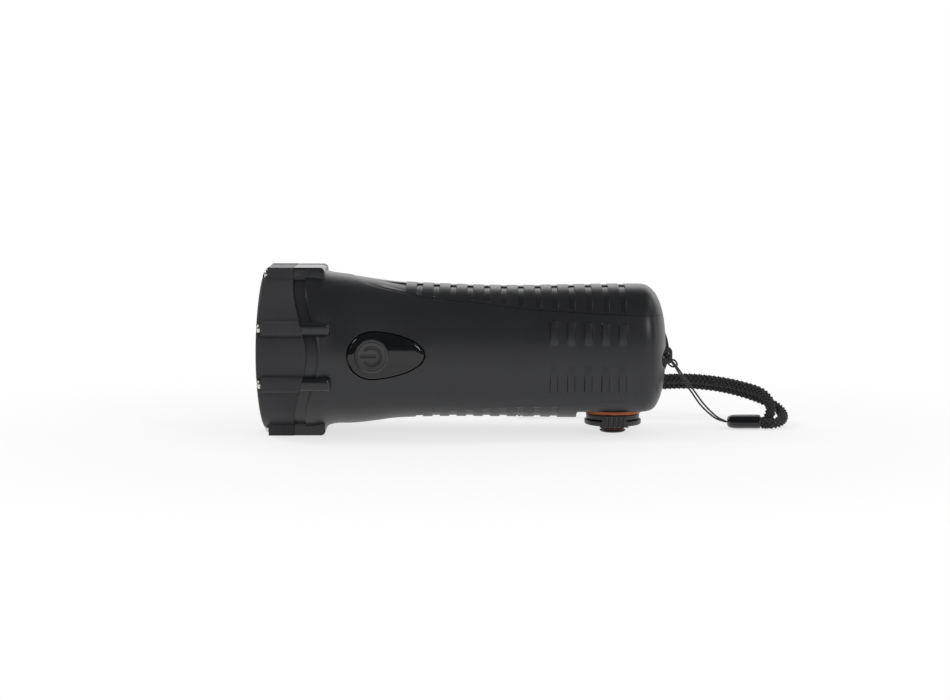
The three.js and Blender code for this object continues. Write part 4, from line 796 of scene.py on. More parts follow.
def screwHole(name, place, fromX, toX, radius):
    turn, across, upright = place
    back = ribs["back"] if upright else 0.0
    centre = (back, across, axisZ + headReach - screws["inset"])
    return tubeSolid(name, aboutAxis(turnedRings([(radius, fromX), (radius, toX)], 24, "X", centre), turn))


# Outline of the switch plate: half heights follow the square root of 1 - u to a power
switch = {"x": -39.8, "fore": 10.2, "aft": 22.0, "high": 9.9, "forePower": 1.85, "aftPower": 1.7, "proud": 0.9,
          "shoulder": 1.8, "collar": 7.1, "flange": 1.2, "flangeFront": 0.9, "flangeBack": 2.1, "depth": 3.2}
# The plate's rows: radius and depth about the button's hole, and down the shoulder the share of
# its width that is left, with the depth
holeRows = [(6.04, 3.2), (6.04, -1.24), (6.08, -1.32), (6.25, -1.38), (6.75, -1.38), (7.0, -1.3)]
shoulderRows = [(0.8, -0.99), (0.6, -0.9), (0.42, -0.77), (0.27, -0.59), (0.15, -0.38), (0.06, -0.1), (0.01, 0.15),
                (0.0, 0.4)]
button = {"radius": 6.0, "flange": 7.3, "flangeThick": 0.8, "sunk": 0.5, "reach": 2.7, "backY": -25.55,
          "dish": [(0, 0.34), (4.9, 0.2), (5.4, 0.1), (5.9, 0.1), (5.97, 0.18), (6.0, 0.3)]}
powerMark = {"radius": 3.7, "width": 1.3, "open": 38.0, "barMiddle": -1.5, "barLength": 6.6, "barWidth": 1.2,
             "depth": 0.28}


def switchOutline(count, grow=0.0):
    turn = fullTurn(count)
    c, s = np.cos(turn), np.sin(turn)
    reach = np.where(c > 0, switch["aft"], switch["fore"]) + grow
    power = np.where(c > 0, switch["aftPower"], switch["forePower"])
    return switch["x"] + signedPower(c, 2 / power) * reach, axisZ + s * (switch["high"] + grow)


# The near side of the skin, as y at places in X and Z
def nearSkin(x, z):
    up, down, side, power = section(x)
    h = z - axisZ
    share = np.clip(np.abs(h) / np.where(h > 0, up, down), 0, 0.999)
    return -side * (1 - share**power) ** (1 / power)


# Lines of points beside the skin at heights above the axis: on one side, and out by some amount
def besideSkin(x, height, side, out, shift=0.0):
    return pointsAt(x, side * (out - nearSkin(x, height + axisZ)), height + shift + axisZ)


# The chamfer on the housing's edge beside the top cover's split line, on both sides. Its face
# slopes down outwards by the chamfer's fall; the width runs out towards the tail.
def seamStrips():
    share = np.linspace(seamStrip["from"], seamStrip["to"], 160)
    x = share * halfLength
    high = seamZ(topSeamRows, x) - seamGap
    wide = seamStrip["width"] * (1 - seamStrip["narrowing"] * softStep(share / 0.5))
    wide = wide * softStep((share - seamStrip["from"]) / 0.03)
    fall, proud, sunk, deep = sizesOf(seamStrip, "fall proud sunk deep")
    strips = []
    for side in (-1, 1):
        low = high - fall * wide
        corners = [
            besideSkin(x, low, side, proud - wide, fall * wide), besideSkin(x, low, side, proud),
            besideSkin(x, high - deep, side, -sunk), besideSkin(x, high - deep, side, -sunk - 1),
        ]
        strips.append(strip("seamStrip", *corners))
    return strips


# The chamfer on the rear edge of the sunk band behind the bezel, between the ribs
def bandStrips():
    strips = []
    for side in (-1, 1):
        for low, high in bandStrip["heights"]:
            height = np.linspace(low, high, 40)
            edge = bezelSeamX(height) + bezelSeam["band"]
            corners = (besideSkin(edge + x, height, side, out) for x, out in bandStrip["corners"])
            strips.append(strip("bandStrip", *corners))
    return strips


# The oval lug: rings across it, drawn in at both faces for a rounded edge
def lugSolid():
    half, run = eyelet["half"], eyelet["round"]
    c, s = run * np.cos(quarter(6)), run * np.sin(quarter(6))
    levels = np.concatenate([-half + run - c, half - run + s])
    reach = (eyelet["radius"] - np.concatenate([run - s, run - c]))[:, None]
    turn = fullTurn(64) + 1e-3
    x = eyelet["x"] + reach * np.cos(turn)
    z = eyelet["z"] + reach * np.sin(turn) + eyelet["stretch"] * np.sign(np.sin(turn))
    return tubeSolid("lug", pointsAt(x, levels[:, None], z))


# The fin's outline carried across, its edge rounded
def finSolid(rootX):
    half, footX, bulgeX, low, high, run = sizesOf(fin, "half footX bulgeX low high round")
    t = np.linspace(0, 1, 48)
    x, z = footX + 2 * t * (1 - t) * (bulgeX - footX), np.array([*(low + (high - low) * t), high, low])
    rings = []
    for angle in np.linspace(-np.pi / 2, np.pi / 2, 9):
        level = (half - run) * np.sign(round(angle, 6)) + run * math.sin(angle)
        rings.append(pointsAt(np.array([*(x - run * (1 - math.cos(angle))), rootX, rootX]), level, z))
    return tubeSolid("fin", np.array(rings))


def makeHousing():
    middles = bars["first"] + bars["pitch"] * np.arange(bars["count"])
    fade, soft, width = bars["fade"], bars["soft"], bars["width"] - bars["soft"]
    tops = np.linspace(bars["topFirst"], bars["topLast"], bars["count"])

    # A bar grows from its fade to its end
    def grown(height, end, bend):
        return np.clip((height - fade) / (end - fade), 0, 1) ** bend * softStep((end - height) / bars["end"])

    def lift(x, y, z):
        high = [grown(z, top, bars["bend"]) + grown(-z, bars["lowEnd"], 1.0) for top in tops]
        return sum(softBand(x, middle, width, soft) * h for middle, h in zip(middles, high)) * bars["proud"]

    shell = skinSolid("housingShell", rowsWith(1.6, bandEdges(middles, width), soft), skinColumns, lift=lift)
    core = skinSolid("core", rowsWith(2.0, [0.0], 1.0, -92.0), 200, bezelSeam["bandDepth"])
    cut(shell, cut(beforeSeam("band", bezelSeam["band"]), core))
    seamX = -halfLength + bezelSeam["back"]
    for place in ribPlaces:
        rear = -halfLength + ribs["rear" if place[2] else "sideRear"]
        join(shell, ribSolid("rib", place, ribs["rearWidth"], seamX, rear, True))
    join(shell, *padSolids(seamX, -halfLength + ribs["rear"] - 0.1, True))
    cut(shell, cavitySolid("hollow"))
    holeX, holeZ, half, rootX, backX, wide, high = sizesOf(eyelet, "x z half rootX backX backHalf backHigh")
    back = block("back", (rootX, -wide, holeZ - high), (backX, wide, holeZ + high))
    join(shell, trim(back, skinSolid("core", rowsWith(3.0, [0.0], 1.0), 160, 0.6)), finSolid(rootX))
    for side in (-1, 1):
        profile = [(eyelet["scoop"], y) for y in sorted((side * half, side * (half + eyelet["scoopWidth"])))]
        cut(shell, turned("scoop", profile, 96, "Y", (holeX + eyelet["radius"], 0, holeZ)))
    tall = eyelet["radius"] + eyelet["stretch"]
    stem = block("stem", (rootX, -half, holeZ - tall), (holeX - 0.4, half, holeZ + tall))
    join(shell, join(lugSolid(), stem))
    cut(
        shell,
        beyondSeam("above", topSeamRows, 1, -seamGap),
        beyondSeam("below", underSeamRows, -1, -underGap),
        beforeSeam("before", bezelSeam["gap"]),
        prism("opening", np.stack(switchOutline(160, gap + 0.1), axis=-1), -46.0, 0.0, "Y"),
        turned("eye", [(eyelet["bore"], -10.0), (eyelet["bore"], 10.0)], 32, "Y", (holeX, 0, holeZ)),
    )
    lay(shell, *seamStrips(), *bandStrips())
    hand(shell, "torch", "black", shellBlack, "main_housing")


def makeTopCover():
    g = topGrooves
    first, last = -halfLength + g["front"], halfLength - g["tail"]
    middles = np.linspace(first, last, g["count"])
    wideMiddle = -halfLength + g["wideFront"] + g["wideWidth"] / 2

    def lift(x, y, z):
        land = softStep((z - seamZ(topSeamRows, x) - g["land"]) / 0.5)
        along = np.clip((x - wideMiddle) / g["wideWidth"] + 0.5, 0, 1)
        wide = along * softBand(x, wideMiddle, g["wideWidth"], g["soft"])
        deep = g["depth"] + (g["shallow"] - g["depth"]) * np.clip((x - first) / (last - first), 0, 1)
        deep = g["spineSunk"] + (deep - g["spineSunk"]) * softStep((np.abs(y) - g["spine"]) / 0.3)
        sunk = g["sunk"] + g["frontSunk"] * (1 - softStep((x - g["frontX"]) / g["frontRun"]))
        return -deep * np.maximum(grooveShare(x, middles, g), wide) * land - sunk

    edges = np.concatenate([bandEdges(middles, g["width"]), bandEdges([wideMiddle], g["wideWidth"])])
    shell = skinSolid("topShell", rowsWith(1.6, edges, g["soft"]), skinColumns, lift=lift)
    trim(shell, beyondSeam("above", topSeamRows, 1, 0.0))
    cut(shell, cavitySolid("hollow"))
    hand(shell, "torch", "black", charcoal, "top_cover")


# The field under the tail: the skin below a plane is drawn up to it, with a rounded edge
def fieldShape(x, z):
    run = recess["round"]
    step = np.clip((recess["stepX"] + run - x) / run, 0, 1)
    level = recess["planeZ"] - run * (1 - np.sqrt(1 - step**2))
    k = recess["soft"] + recess["tailSoft"] * softStep((x - recess["tailX"]) / recess["tailRun"])
    raised = (z + level + np.sqrt((z - level) ** 2 + k**2)) / 2
    return np.where(x > recess["stepX"], raised, z)


def makeUnderCover():
    g = underGrooves
    middles = np.linspace(-halfLength + g["front"], g["last"], g["count"])

    def lift(x, y, z):
        land = softStep((-seamZ(underSeamRows, x) - z - g["land"]) / 0.5)
        return -g["depth"] * grooveShare(x, middles, g) * land

    def roof(x, z):
        return np.where(x > recess["stepX"] - 3, np.maximum(z, recess["planeZ"] + wall), z)

    step = recess["stepX"] + np.array([-0.02, 0.02, 0.1, 0.25, 0.45, 0.7, 1.0, 1.3])
    rows = np.concatenate([rowsWith(1.6, bandEdges(middles, g["width"]), g["soft"]), step])
    shell = skinSolid("underShell", rows, skinColumns, lift=lift, shape=fieldShape)
    trim(shell, beyondSeam("below", underSeamRows, -1, 0.0))
    cut(shell, cavitySolid("hollow", roof), turned("well", [(recess["well"], 0.0), (recess["well"], 20.0)], 96))
    hand(shell, "torch", "black", charcoal, "under_cover")


bezel = {"length": 24.0, "bore": 3.2, "lip": 5.1, "lipThick": 2.2, "edge": 1.3, "rim": 0.5, "crown": 1.4,
         "crownRun": 6.0}


def makeBezel():
    r, front, edge, rim = headRadius, -halfLength, bezel["edge"], bezel["rim"]
    bore, lip, step, back = r - bezel["bore"], r - bezel["lip"], front + bezel["lipThick"], front + bezel["length"]
    profile = [(bore, back), (bore, step), (lip, step), *rounded(lip + rim, front + rim, rim, -1, -1)]
    profile += [*rounded(r - edge, front + edge, edge, 1, -1)[::-1], *((r, x) for x in np.linspace(front + 3, back, 8))]
    rings = turnedRings(profile, 256, "X", headAxis)
    crown = bezel["crown"] * ((rings[..., 2] - axisZ) / headReach) ** 2
    rings[..., 0] += crown * np.clip((front + bezel["crownRun"] - rings[..., 0]) / bezel["crownRun"], 0, 1)
    ring = ringSolid("bezelRing", rings)
    near = front + ribs["front"]
    for place in ribPlaces:
        join(ring, ribSolid("rib", place, ribs["width"], near + (ribs["back"] if place[2] else 0.0), back, False))
    join(ring, *padSolids(near + ribs["back"], back, False))
    trim(ring, beforeSeam("before", 0.0))
    cut(ring, turned("bore", [(bore, step), (bore, front + 30)], 256, "X", headAxis))
    for place in ribPlaces:
        cut(ring, screwHole("notch", place, front - 3, near, screws["notch"]))
        cut(ring, screwHole("hole", place, front, back, screws["hole"]))
    hand(ring, "torch", "black", bezelGrey, "bezel")


# Pan head screw with a cross recess sunk into its head
def makeScrews():
    radius = np.concatenate([np.linspace(0, 1.35, 19), [1.55, 1.72, 1.84, 1.9, 1.9]])
    head = np.interp(radius, *np.transpose(screws["head"]))
    head[-1] = 0.0
    seat = -halfLength + ribs["front"] - gap
    y, z = radius[:, None] * np.cos(fullTurn(48)), radius[:, None] * np.sin(fullTurn(48))

    def slot(across, along):
        wide = softStep((screws["crossWide"] - np.abs(across)) / 0.16)
        return wide * softStep((screws["crossLong"] - np.abs(along)) / 0.3)

    top = pointsAt(seat - head[:, None] + screws["crossDeep"] * np.maximum(slot(y, z), slot(z, y)), y, z)
    end = seat + screws["length"]
    shank = turnedRings([(screws["shank"], seat), (screws["shank"], end - 1), (screws["tip"], end)], 48, "X", (0, 0, 0))
    for i, (turn, across, upright) in enumerate(ribPlaces):
        place = (ribs["back"] if upright else 0.0, across, axisZ + headReach - screws["inset"])
        rings = spun(np.concatenate([top, shank]), 0.7 * i) + place
        piece = tubeSolid(f"panScrew{i + 1}", aboutAxis(rings, turn))
        hand(piece, "torch", "steel", screwSteel, f"bezel_screw_{i + 1}")


makeBezel()
print("bezel made")
makeHousing()
print("housing made")
makeTopCover()
makeUnderCover()
print("covers made")
makeScrews()
print("screws made")


# Switch


# The plate follows the skin: rows run from the button's hole over a collar to the outline, down its
# edge, out over the hidden flange and back behind
def makeSwitchPlate():
    turn = fullTurn(192)
    outline, flange = switchOutline(192), switchOutline(192, switch["flange"])
    collar = switch["x"] + switch["collar"] * np.cos(turn), axisZ + switch["collar"] * np.sin(turn)
    face = 1 - switch["shoulder"] / np.hypot(outline[0] - collar[0], outline[1] - collar[1])
    nearest = float(nearSkin(np.array(switch["x"]), np.array(axisZ)))
    rows = []

    def circle(radius, depth):
        rows.append(pointsAt(switch["x"] + radius * np.cos(turn), nearest + depth, axisZ + radius * np.sin(turn)))

    # A row at a share of the way from the collar to the outline or the flange
    def toward(share, depth, end=outline):
        x, z = (a + (b - a) * share for a, b in zip(collar, end))
        rows.append(pointsAt(x, nearSkin(x, z) + depth, z))

    for radius, depth in holeRows:
        circle(radius, depth)
    for share in (0.0, 0.05, 0.15, 0.31, 0.5, 0.69, 0.87, 1.0):
        toward(share * face, -switch["proud"] - 0.15 - 0.2 * (1 - share**2))
    for share, depth in shoulderRows:
        toward(1 - share * (1 - face), depth)
    front, back = wall + switch["flangeFront"], wall + switch["flangeBack"]
    toward(1.0, front)
    toward(1.0, front, flange)
    toward(1.0, back, flange)
    toward(0.5, back)
    toward(0.0, back)
    circle(switch["collar"] + gap, switch["depth"])
    hand(ringSolid("switchPlate", np.array(rows)), "torch", "gloss", platePaint(), "button_bezel", angle=50)


# X and Z from the button's middle in millimetres, and the distance from it
def fromButton(finish):
    x, _, z = finish.parts(finish.place())
    x, z = x / mm - switch["x"], z / mm - axisZ
    return x, z, (x * x + z * z) ** 0.5


# Gloss black with a matt grey collar round the button
def platePaint():
    finish = Finish("platePlastic", IOR=1.5)
    matt = 1 - fromButton(finish)[2].ramp(switch["collar"] - 0.15, switch["collar"] + 0.1)
    smear = finish.grain(9, 4, (1, 1, 0.25))
    fine = finish.grain(0.3, 3)
    black = finish.blend(smear, (0.004, 0.0045, 0.006), (0.006, 0.0065, 0.008))
    return finish.feed(
        Base_Color=finish.blend(matt, black, (0.033, 0.0335, 0.036)),
        Roughness=0.07 + smear * 0.04 + matt * 0.26,
        Normal=finish.relief(fine * matt, 0.006),
    )


# Button plastic, with painted shade in the sunk mark: a ring open towards the head, and a bar
def buttonPaint():
    finish = Finish("buttonPlastic", IOR=1.5)
    x, z, radius = fromButton(finish)

    # One where a value lies within half a width of a middle
    def within(value, middle, width):
        return 1 - (value - middle).size().ramp(width / 2 - 0.1, width / 2 + 0.1)

    opening = (x * -1.0 - z.size() / math.tan(math.radians(powerMark["open"]))).ramp(-0.1, 0.1)
    ring = within(radius, powerMark["radius"], powerMark["width"]) * (1 - opening)
    bar = within(x, powerMark["barMiddle"], powerMark["barLength"]) * within(z, 0.0, powerMark["barWidth"])
    fine = finish.grain(0.3, 3)
    plain = finish.blend(fine.ramp(0.3, 0.7), (0.03, 0.0305, 0.033), (0.036, 0.0365, 0.039))
    return finish.feed(
        # Painted shade: the sunk ring and bar take a darker tone, standing for the shade in their recess
        Base_Color=finish.blend(finish.maths("MAXIMUM", ring, bar), plain, (0.011, 0.011, 0.012)),
        Roughness=0.34 + (fine - 0.5) * 0.14,
        Normal=finish.relief(fine, 0.006),
    )


# The button: a shallow dish with the open ring and bar of a power mark sunk into it. Its flange
# begins no deeper than the CAD's, clear of the tact switch at full press.
def makeButton():
    mark, turn = powerMark, fullTurn(180)
    nearest = float(nearSkin(np.array(switch["x"]), np.array(axisZ)))
    radius = np.concatenate([np.linspace(0, 4.9, 44), [5.15, 5.4, 5.7, 5.9, 5.97, button["radius"]]])[:, None]
    level = np.interp(radius, *np.transpose(button["dish"]))
    x, z = radius * np.cos(turn), radius * np.sin(turn)
    open_ = np.abs(turn - np.pi) > math.radians(mark["open"])
    ring = softBand(radius, mark["radius"], mark["width"], 0.2) * open_
    bar = softBand(x, mark["barMiddle"], mark["barLength"], 0.2) * softBand(z, 0, mark["barWidth"], 0.2)
    depth = nearest - switch["proud"] - button["sunk"] + level + mark["depth"] * np.maximum(ring, bar)
    back = min(nearest + wall + button["reach"], button["backY"])
    rest = button["radius"], button["flange"], button["flange"]
    x, z = ([*a, *(r * way(turn) for r in rest)] for a, way in ((x, np.cos), (z, np.sin)))
    depth = [*depth, *(np.full(len(turn), y) for y in (back, back, back + button["flangeThick"]))]
    piece = tubeSolid("powerButton", pointsAt(np.array(x) + switch["x"], np.array(depth), np.array(z) + axisZ))
    hand(piece, "button", "rubber", buttonPaint(), "power_button", angle=50)


makeSwitchPlate()
makeButton()
print("switch made")


# Optics

optics = {"lensX": -85.3, "lensThick": 2.2, "radius": 30.9, "gasketX": -82.8, "gasketWide": 1.9, "gasketThick": 1.6,
          "reflectorX": -80.9, "reflectorThick": 1.6, "depth": 17.0, "cupPitch": 14.6, "cupWall": 1.1, "mouth": 11.6,
          "throat": 3.1, "diodeX": -63.9, "diodeRadius": 2.5, "diodeFlange": 2.9, "diodeLength": 5.6}


def makeOptics():
    x, r, thick = optics["lensX"], optics["radius"], optics["lensThick"]
    profile = [(s * (r - 0.5), x + 0.45 * s * s) for s in np.linspace(0, 1, 14)]
    profile += [(r - 0.12, x + 0.6), (r, x + 0.8), (r, x + thick), (0, x + thick)]
    hand(turned("lensDisc", profile, 160, "X", headAxis), "torch", "clear", lensClear, "lens")
    g, inner, thick = optics["gasketX"], r - optics["gasketWide"], optics["gasketThick"]
    seal = [(inner, g), (r - 0.5, g), (r - 0.1, g + 0.2), (r, g + 0.5), (r, g + 1.3), (r - 0.3, g + thick),
            (inner, g + thick)]
    hand(turnedRing("lensSeal", seal, 128, "X", headAxis), "torch", "rubber", blackRubber, "lens_gasket")
    start, depth, mouth, throat = sizesOf(optics, "reflectorX depth mouth throat")
    shares = np.linspace(0, 1, 18)
    cup = throat + (mouth - throat) * np.sqrt(1 - shares)
    plate = turned("reflectorCups", [(r, start), (r, start + optics["reflectorThick"])], 128, "X", headAxis)
    places = [math.pi / 2 + 2 * math.pi * k / 3 for k in range(3)]
    centres = [(0, math.cos(t) * optics["cupPitch"], axisZ + math.sin(t) * optics["cupPitch"]) for t in places]
    for centre in centres:
        join(plate, turned("outer", list(zip(cup + optics["cupWall"], start + shares * depth)), 72, "X", centre))
    for centre in centres:
        hollow = [(mouth, start - 2), *zip(cup, start + shares * depth), (throat, start + depth + 2)]
        cut(plate, turned("inner", hollow, 72, "X", centre))
    hand(plate, "torch", "chrome", mirrorCoat, "reflector")
    base, r, flange, long_ = sizesOf(optics, "diodeX diodeRadius diodeFlange diodeLength")
    tip = rounded(0, base - long_ + r, r, 1, -1, 10)[::-1]
    profile = tip + [(r, base - 0.9), (flange, base - 0.9), (flange, base), (0, base)]
    for i, centre in enumerate(centres):
        diode = turned(f"diode{i + 1}", profile, 40, "X", centre)
        hand(diode, "torch", "clear", diodeClear, f"led_{i + 1}")


makeOptics()
print("optics made")


# Crank

hub = {"flangeRadius": 11.4, "low": 6.0, "high": 8.2, "cupBore": 9.4, "cupRadius": 10.7, "ceiling": 15.8,
       "top": 17.2, "shaft": 2.0, "shaftTop": 28.9, "hex": 3.6, "hexTop": 20.2, "rim": 0.3}
hinge = {"y": 13.2, "z": 2.7, "radius": 2.0, "pin": 0.8, "knuckle": 6.2, "ear": 3.0, "earY": 9.6, "flat": 2.6}
arm = {"radius": 12.15, "low": 3.5, "high": 5.7, "round": 0.8, "topRound": 0.3, "tabWidth": 10.3, "tabThick": 1.8,
       "tabHigh": 8.2, "grips": 5, "axleHole": 2.3}
knob = {"radius": 4.4, "low": 6.0, "high": 15.2, "bore": 2.3, "headBore": 3.5, "seat": 13.9, "flutes": 10,
        "fluteDeep": 0.35}
cap = {"radius": 5.6, "low": 1.2, "high": 1.9, "back": 3.2, "groove": 1.0, "ringSunk": 0.55, "ringRoot": 0.8}
bearing = {"inner": 11.1, "outer": 12.2, "low": 8.5, "high": 9.8, "edge": 0.25}


def disc(y, z, radius):
    turn = fullTurn(40)
    return np.stack([y + radius * np.cos(turn), z + radius * np.sin(turn)], axis=-1)


def pinHole():
    return prism("pinHole", disc(hinge["y"], hinge["z"], hinge["pin"] + gap), 40.0, 85.0, "X")


def makeHub():
    low, high, rim, wide, bore, ceiling = sizesOf(hub, "low high rim flangeRadius cupBore ceiling")
    drum, top, shaft, shaftTop, hexagon, hexTop = sizesOf(hub, "cupRadius top shaft shaftTop hex hexTop")
    profile = [
        (0, ceiling), (bore, ceiling), (bore, low + rim), (bore + rim, low), (wide - rim, low), (wide, low + rim),
        (wide, high - rim), (wide - rim, high), (drum, high), (drum, top), (shaft, top), (shaft, shaftTop),
        (0, shaftTop),
    ]
    piece = turned("crankDrum", profile, 120)
    join(piece, turned("hexagon", [(hexagon, ceiling + 0.5), (hexagon, hexTop)], 6))
    y, z, r, earY, ear = sizesOf(hinge, "y z radius earY ear")
    outline = [(y - r * math.cos(a), z - r * math.sin(a)) for a in np.linspace(0, math.pi, 20)]
    outline += [(y + r, high - 1.0), (y + r - 0.3, high - 0.3), (y + r / 2, high), (earY, high), (earY, low)]
    outline += [(y - r, low)]
    inner = hinge["knuckle"] / 2 + gap
    end = inner + ear
    for a, b in ((crankX - end, crankX - inner), (crankX + inner, crankX + end)):
        join(piece, prism("ear", outline, a, b, "X"))
    hand(cut(piece, pinHole()), "crank", "black", crankGrey, "crank_hub")
    pin = prism("hingePin", disc(y, z, hinge["pin"]), crankX - end + gap, crankX + end - gap, "X")
    hand(pin, "crank", "steel", screwSteel, "hinge_pin")


def makeArm():
    r, low, high, run, topRun = sizesOf(arm, "radius low high round topRound")
    profile = [(0, low), *rounded(r - run, low + run, run, 1, -1, 6)[::-1]]
    profile += [*rounded(r - topRun, high - topRun, topRun, 1, 1, 6), (0, high)]
    piece = turned("foldingArm", profile, 128)
    y, half, flatY = hinge["y"], hinge["knuckle"] / 2, hinge["y"] - hinge["flat"]
    cut(piece, block("flat", (crankX - 20, flatY, -2), (crankX + 20, 22, 12)))
    join(piece, prism("knuckle", disc(y, hinge["z"], hinge["radius"]), crankX - half, crankX + half, "X"))
    join(piece, block("bridge", (crankX - half, flatY - 1.5, low), (crankX + half, y, hinge["z"] + hinge["radius"])))
    tabY, wide, top = -hub["flangeRadius"] - gap, arm["tabWidth"] / 2, arm["tabHigh"]
    outerY = tabY - arm["tabThick"]
    side = [(wide + 1.1 * (1 - t) ** 3, low + 2.6 * t) for t in np.linspace(0, 1, 9)]
    side += [(wide, top - 0.5), (wide - 0.15, top - 0.15), (wide - 0.5, top)]
    outline = [(crankX + across, z) for across, z in side] + [(crankX - across, z) for across, z in side[::-1]]
    join(piece, prism("tab", outline, outerY, tabY, "Y"))
    join(piece, block("tabFoot", (crankX - wide, tabY - 0.5, low), (crankX + wide, tabY + 2.2, high)))
    grip = [(0.01, low), (0.75, low + 0.3), (0.6, low + 1.4), (0.52, top - 0.9), (0.4, top - 0.4), (0.01, top - 0.15)]
    for k in range(arm["grips"]):
        x = crankX - wide + arm["tabWidth"] * (k + 0.5) / arm["grips"]
        join(piece, turned("grip", grip, 20, "Z", (x, outerY, 0)))
    cut(piece, pinHole(), turned("axleHole", [(arm["axleHole"], -3), (arm["axleHole"], 20)], 48))
    hand(piece, "arm", "black", crankGrey, "fold_arm")


# The knob: ten shallow flutes, as a cosine of the turn that fades at both ends
def makeKnob():
    r, low, high, bore, headBore, seat = sizesOf(knob, "radius low high bore headBore seat")
    outer = [(r - 0.35, low), (r - 0.1, low + 0.12), (r, low + 0.4), (r, low + 1.2), (r, 10.0), (r, high - 1.4),
             (r, high - 0.9), (r - 0.15, high - 0.35), (r - 0.5, high)]
    inner = [(headBore + 0.15, high), (headBore, high - 0.15), (headBore, seat), (bore, seat), (bore, low)]
    rings = turnedRings(outer + inner, 120, "Z", (0, 0, 0))
    flute = np.zeros((len(rings), 1))
    flute[3:6] = knob["fluteDeep"]
    radius = np.hypot(rings[..., 0], rings[..., 1])
    shrink = 1 - flute * (0.5 + 0.5 * np.cos(knob["flutes"] * fullTurn(120))) / radius
    rings[..., :2] *= shrink[..., None]
    hand(ringSolid("grippingKnob", rings + crankAxis), "knob", "black", crankGrey, "crank_knob")
    foot, head = cap["low"], seat + gap
    axle = [(0, foot), (2.0, foot), (2.0, head), (3.0, head), (3.2, head + 0.2), (3.2, head + 0.5), (2.9, head + 0.8),
            (0, head + 0.8)]
    hand(turned("knobAxle", axle, 48), "arm", "steel", screwSteel, "knob_axle")


def makeCap():
    r, low, high, back = sizesOf(cap, "radius low high back")
    groove, bore = r - cap["groove"], arm["axleHole"]
    edge = [(r - 1.6 + 1.5 * math.sin(a), 0.75 - 0.75 * math.cos(a)) for a in quarter(8)]
    profile = [(0, 0.12), (2.5, 0.04), *edge, (r, low - 0.3), (groove, low - 0.3), (groove, high + 0.3),
               (r, high + 0.3), (r, back - 0.2), (r - 0.2, back), (bore, back), (bore, 0.9), (0, 0.9)]
    hand(turned("knobCap", profile, 96), "arm", "gloss", pianoBlack, "knob_cap")
    rim, root = r - cap["ringSunk"], r - cap["ringRoot"]
    band = [(root, low), (rim - 0.15, low), (rim, low + 0.12), (rim, high - 0.12), (rim - 0.15, high), (root, high)]
    # The cap's ring takes the darkened orange: its dark red is painted shade
    hand(turnedRing("capBand", band, 96), "arm", "orange", shadedOrange, "cap_ring")
    inner, r, low, high, edge = sizesOf(bearing, "inner outer low high edge")
    ring = [(inner, low), (r - edge, low), (r, low + edge - 0.03), (r, high), (inner, high)]
    hand(turnedRing("orangeRing", ring, 144), "torch", "orange", burntOrange, "bearing_ring")


makeHub()
makeArm()
makeKnob()
makeCap()
print("crank made")


# The nodes inside keep their solids and get their finishes
inside = (
    (laminate, "led_board", "circuit_board"),
    (magnetGrey, "power_switch", "magnet_rotor"),
    (cellSleeve, "battery_pack"),
    (copperWire, "stator_coil"),
    (nylon, "crank_gear", "idler_gear_1", "idler_gear_2"),
    (screwSteel, "idler_pin_1", "idler_pin_2", "gear_plate", *(f"gear_plate_screw_{k}" for k in range(1, 5)),
     "generator_can", "generator_cap", "rotor_shaft"),
)
for material, *names in inside:
    for name in names:
        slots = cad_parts[name].data.materials
        slots.clear()
        slots.append(material)
print("inner parts dressed")


# Floor and light

studio = {"half": 3000.0, "floorTone": 0.86, "stretch": (0.8, 1.0, 0.0), "fadeFrom": 0.1, "fadeTo": 0.26,
          "shadowShown": 0.3, "lowAir": 0.45, "highAir": 0.72, "dim": 0.07}


# The floor is lit paper; seen by the camera, in gloss or through glass, it fades to plain white
# away from the torch. From below it isn't there.
def makeFloor():
    half = studio["half"]
    corners = [(-half, -half, 0), (half, -half, 0), (half, half, 0), (-half, half, 0)]
    floor = meshPiece("studioFloor", corners, [(0, 1, 2, 3)])
    material = bpy.data.materials.new("floorPaint")
    paper = Nodes(material)
    place = paper.add("Mapping", None, {"Vector": paper.place(), "Scale": studio["stretch"]})
    distance = paper.add("VectorMath", {"operation": "LENGTH"}, {0: place}, "Value")
    shadow = (1 - distance.ramp(studio["fadeFrom"], studio["fadeTo"])) * studio["shadowShown"]
    share = (1 - shadow) * paper.rays("Camera", "Glossy", "Transmission")
    paint = paper.add("BsdfDiffuse", None, {"Color": (*[studio["floorTone"]] * 3, 1.0)})
    glow = paper.add("Emission")
    shown = paper.add("MixShader", None, {0: share, 1: paint, 2: glow})
    below = paper.add("NewGeometry", output="Backfacing")
    clear = paper.add("BsdfTransparent")
    both = paper.add("MixShader", None, {0: below, 1: shown, 2: clear})
    paper.add("OutputMaterial", None, {0: both})
    floor.data.materials.append(material)


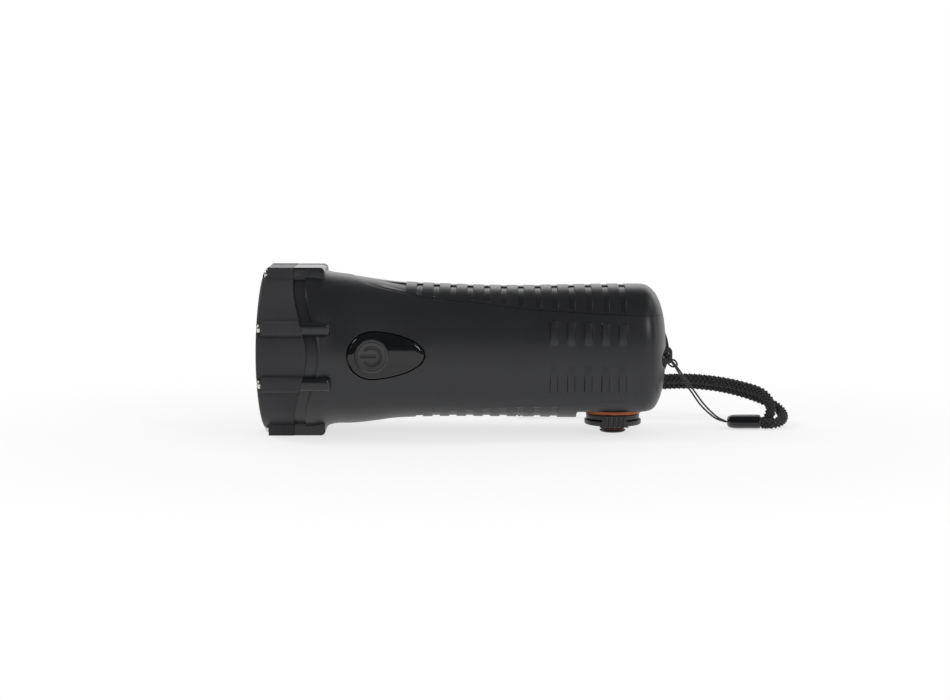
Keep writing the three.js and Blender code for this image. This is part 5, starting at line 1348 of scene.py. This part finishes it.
# The air: white behind the torch and dim before it for reflections, for soft light brighter
# overhead than low down, and plain white where the camera looks into it
def makeWorld():
    world = bpy.data.worlds.new("studioAir")
    bpy.context.scene.world = world
    air = Nodes(world)

    def background(strength):
        return air.add("Background", None, {"Color": (1.0, 1.0, 1.0, 1.0), "Strength": strength})

    _, y, z = air.parts(air.add("TexCoord", output="Generated"))
    white = (y - z * 0.75).ramp(0.05, 0.5) * (1 - studio["dim"]) + studio["dim"]
    soft = z.ramp(0.0, 0.9) * (studio["highAir"] - studio["lowAir"]) + studio["lowAir"]
    shown = background(air.maths("MAXIMUM", white, air.rays("Camera", "Transmission")))
    share = air.rays("Camera", "Transmission", "Glossy")
    both = air.add("MixShader", None, {0: share, 1: background(soft), 2: shown})
    air.add("OutputWorld", None, {0: both})


# A softbox that faces the torch: its power is its brightness times its area times pi. Metres.
def makeLamp(name, place, size, brightness, target=(0, 0, 0.03)):
    data = bpy.data.lights.new(name, "AREA")
    data.shape, data.size, data.size_y = "RECTANGLE", size[0], size[1]
    data.energy = brightness * size[0] * size[1] * math.pi
    lamp = bpy.data.objects.new(name, data)
    lamp.location = place
    lamp.rotation_euler = (Vector(target) - Vector(place)).to_track_quat("-Z", "Y").to_euler()
    bpy.context.scene.collection.objects.link(lamp)


# Each softbox's place, size and brightness
softboxes = {
    "backSoftbox": ((0.0, 1.2, 0.62), (2.4, 0.5), 1.0),
    "leftSoftbox": ((-0.85, 0.1, 0.9), (0.3, 0.45), 9.0),
    "rightSoftbox": ((0.85, 0.25, 0.9), (0.4, 0.4), 1.5),
    "headSoftbox": ((-0.95, -0.9, 0.75), (0.16, 0.3), 2.5),
    "tailSoftbox": ((0.9, -1.0, 0.7), (0.24, 0.5), 11.0),
    "sideSoftbox": ((1.3, 0.1, 0.35), (0.3, 0.6), 1.5),
}
makeFloor()
makeWorld()
for name, looks in softboxes.items():
    makeLamp(name, *looks)
bpy.context.scene.view_settings.view_transform = "Standard"
print("floor and lamps set")
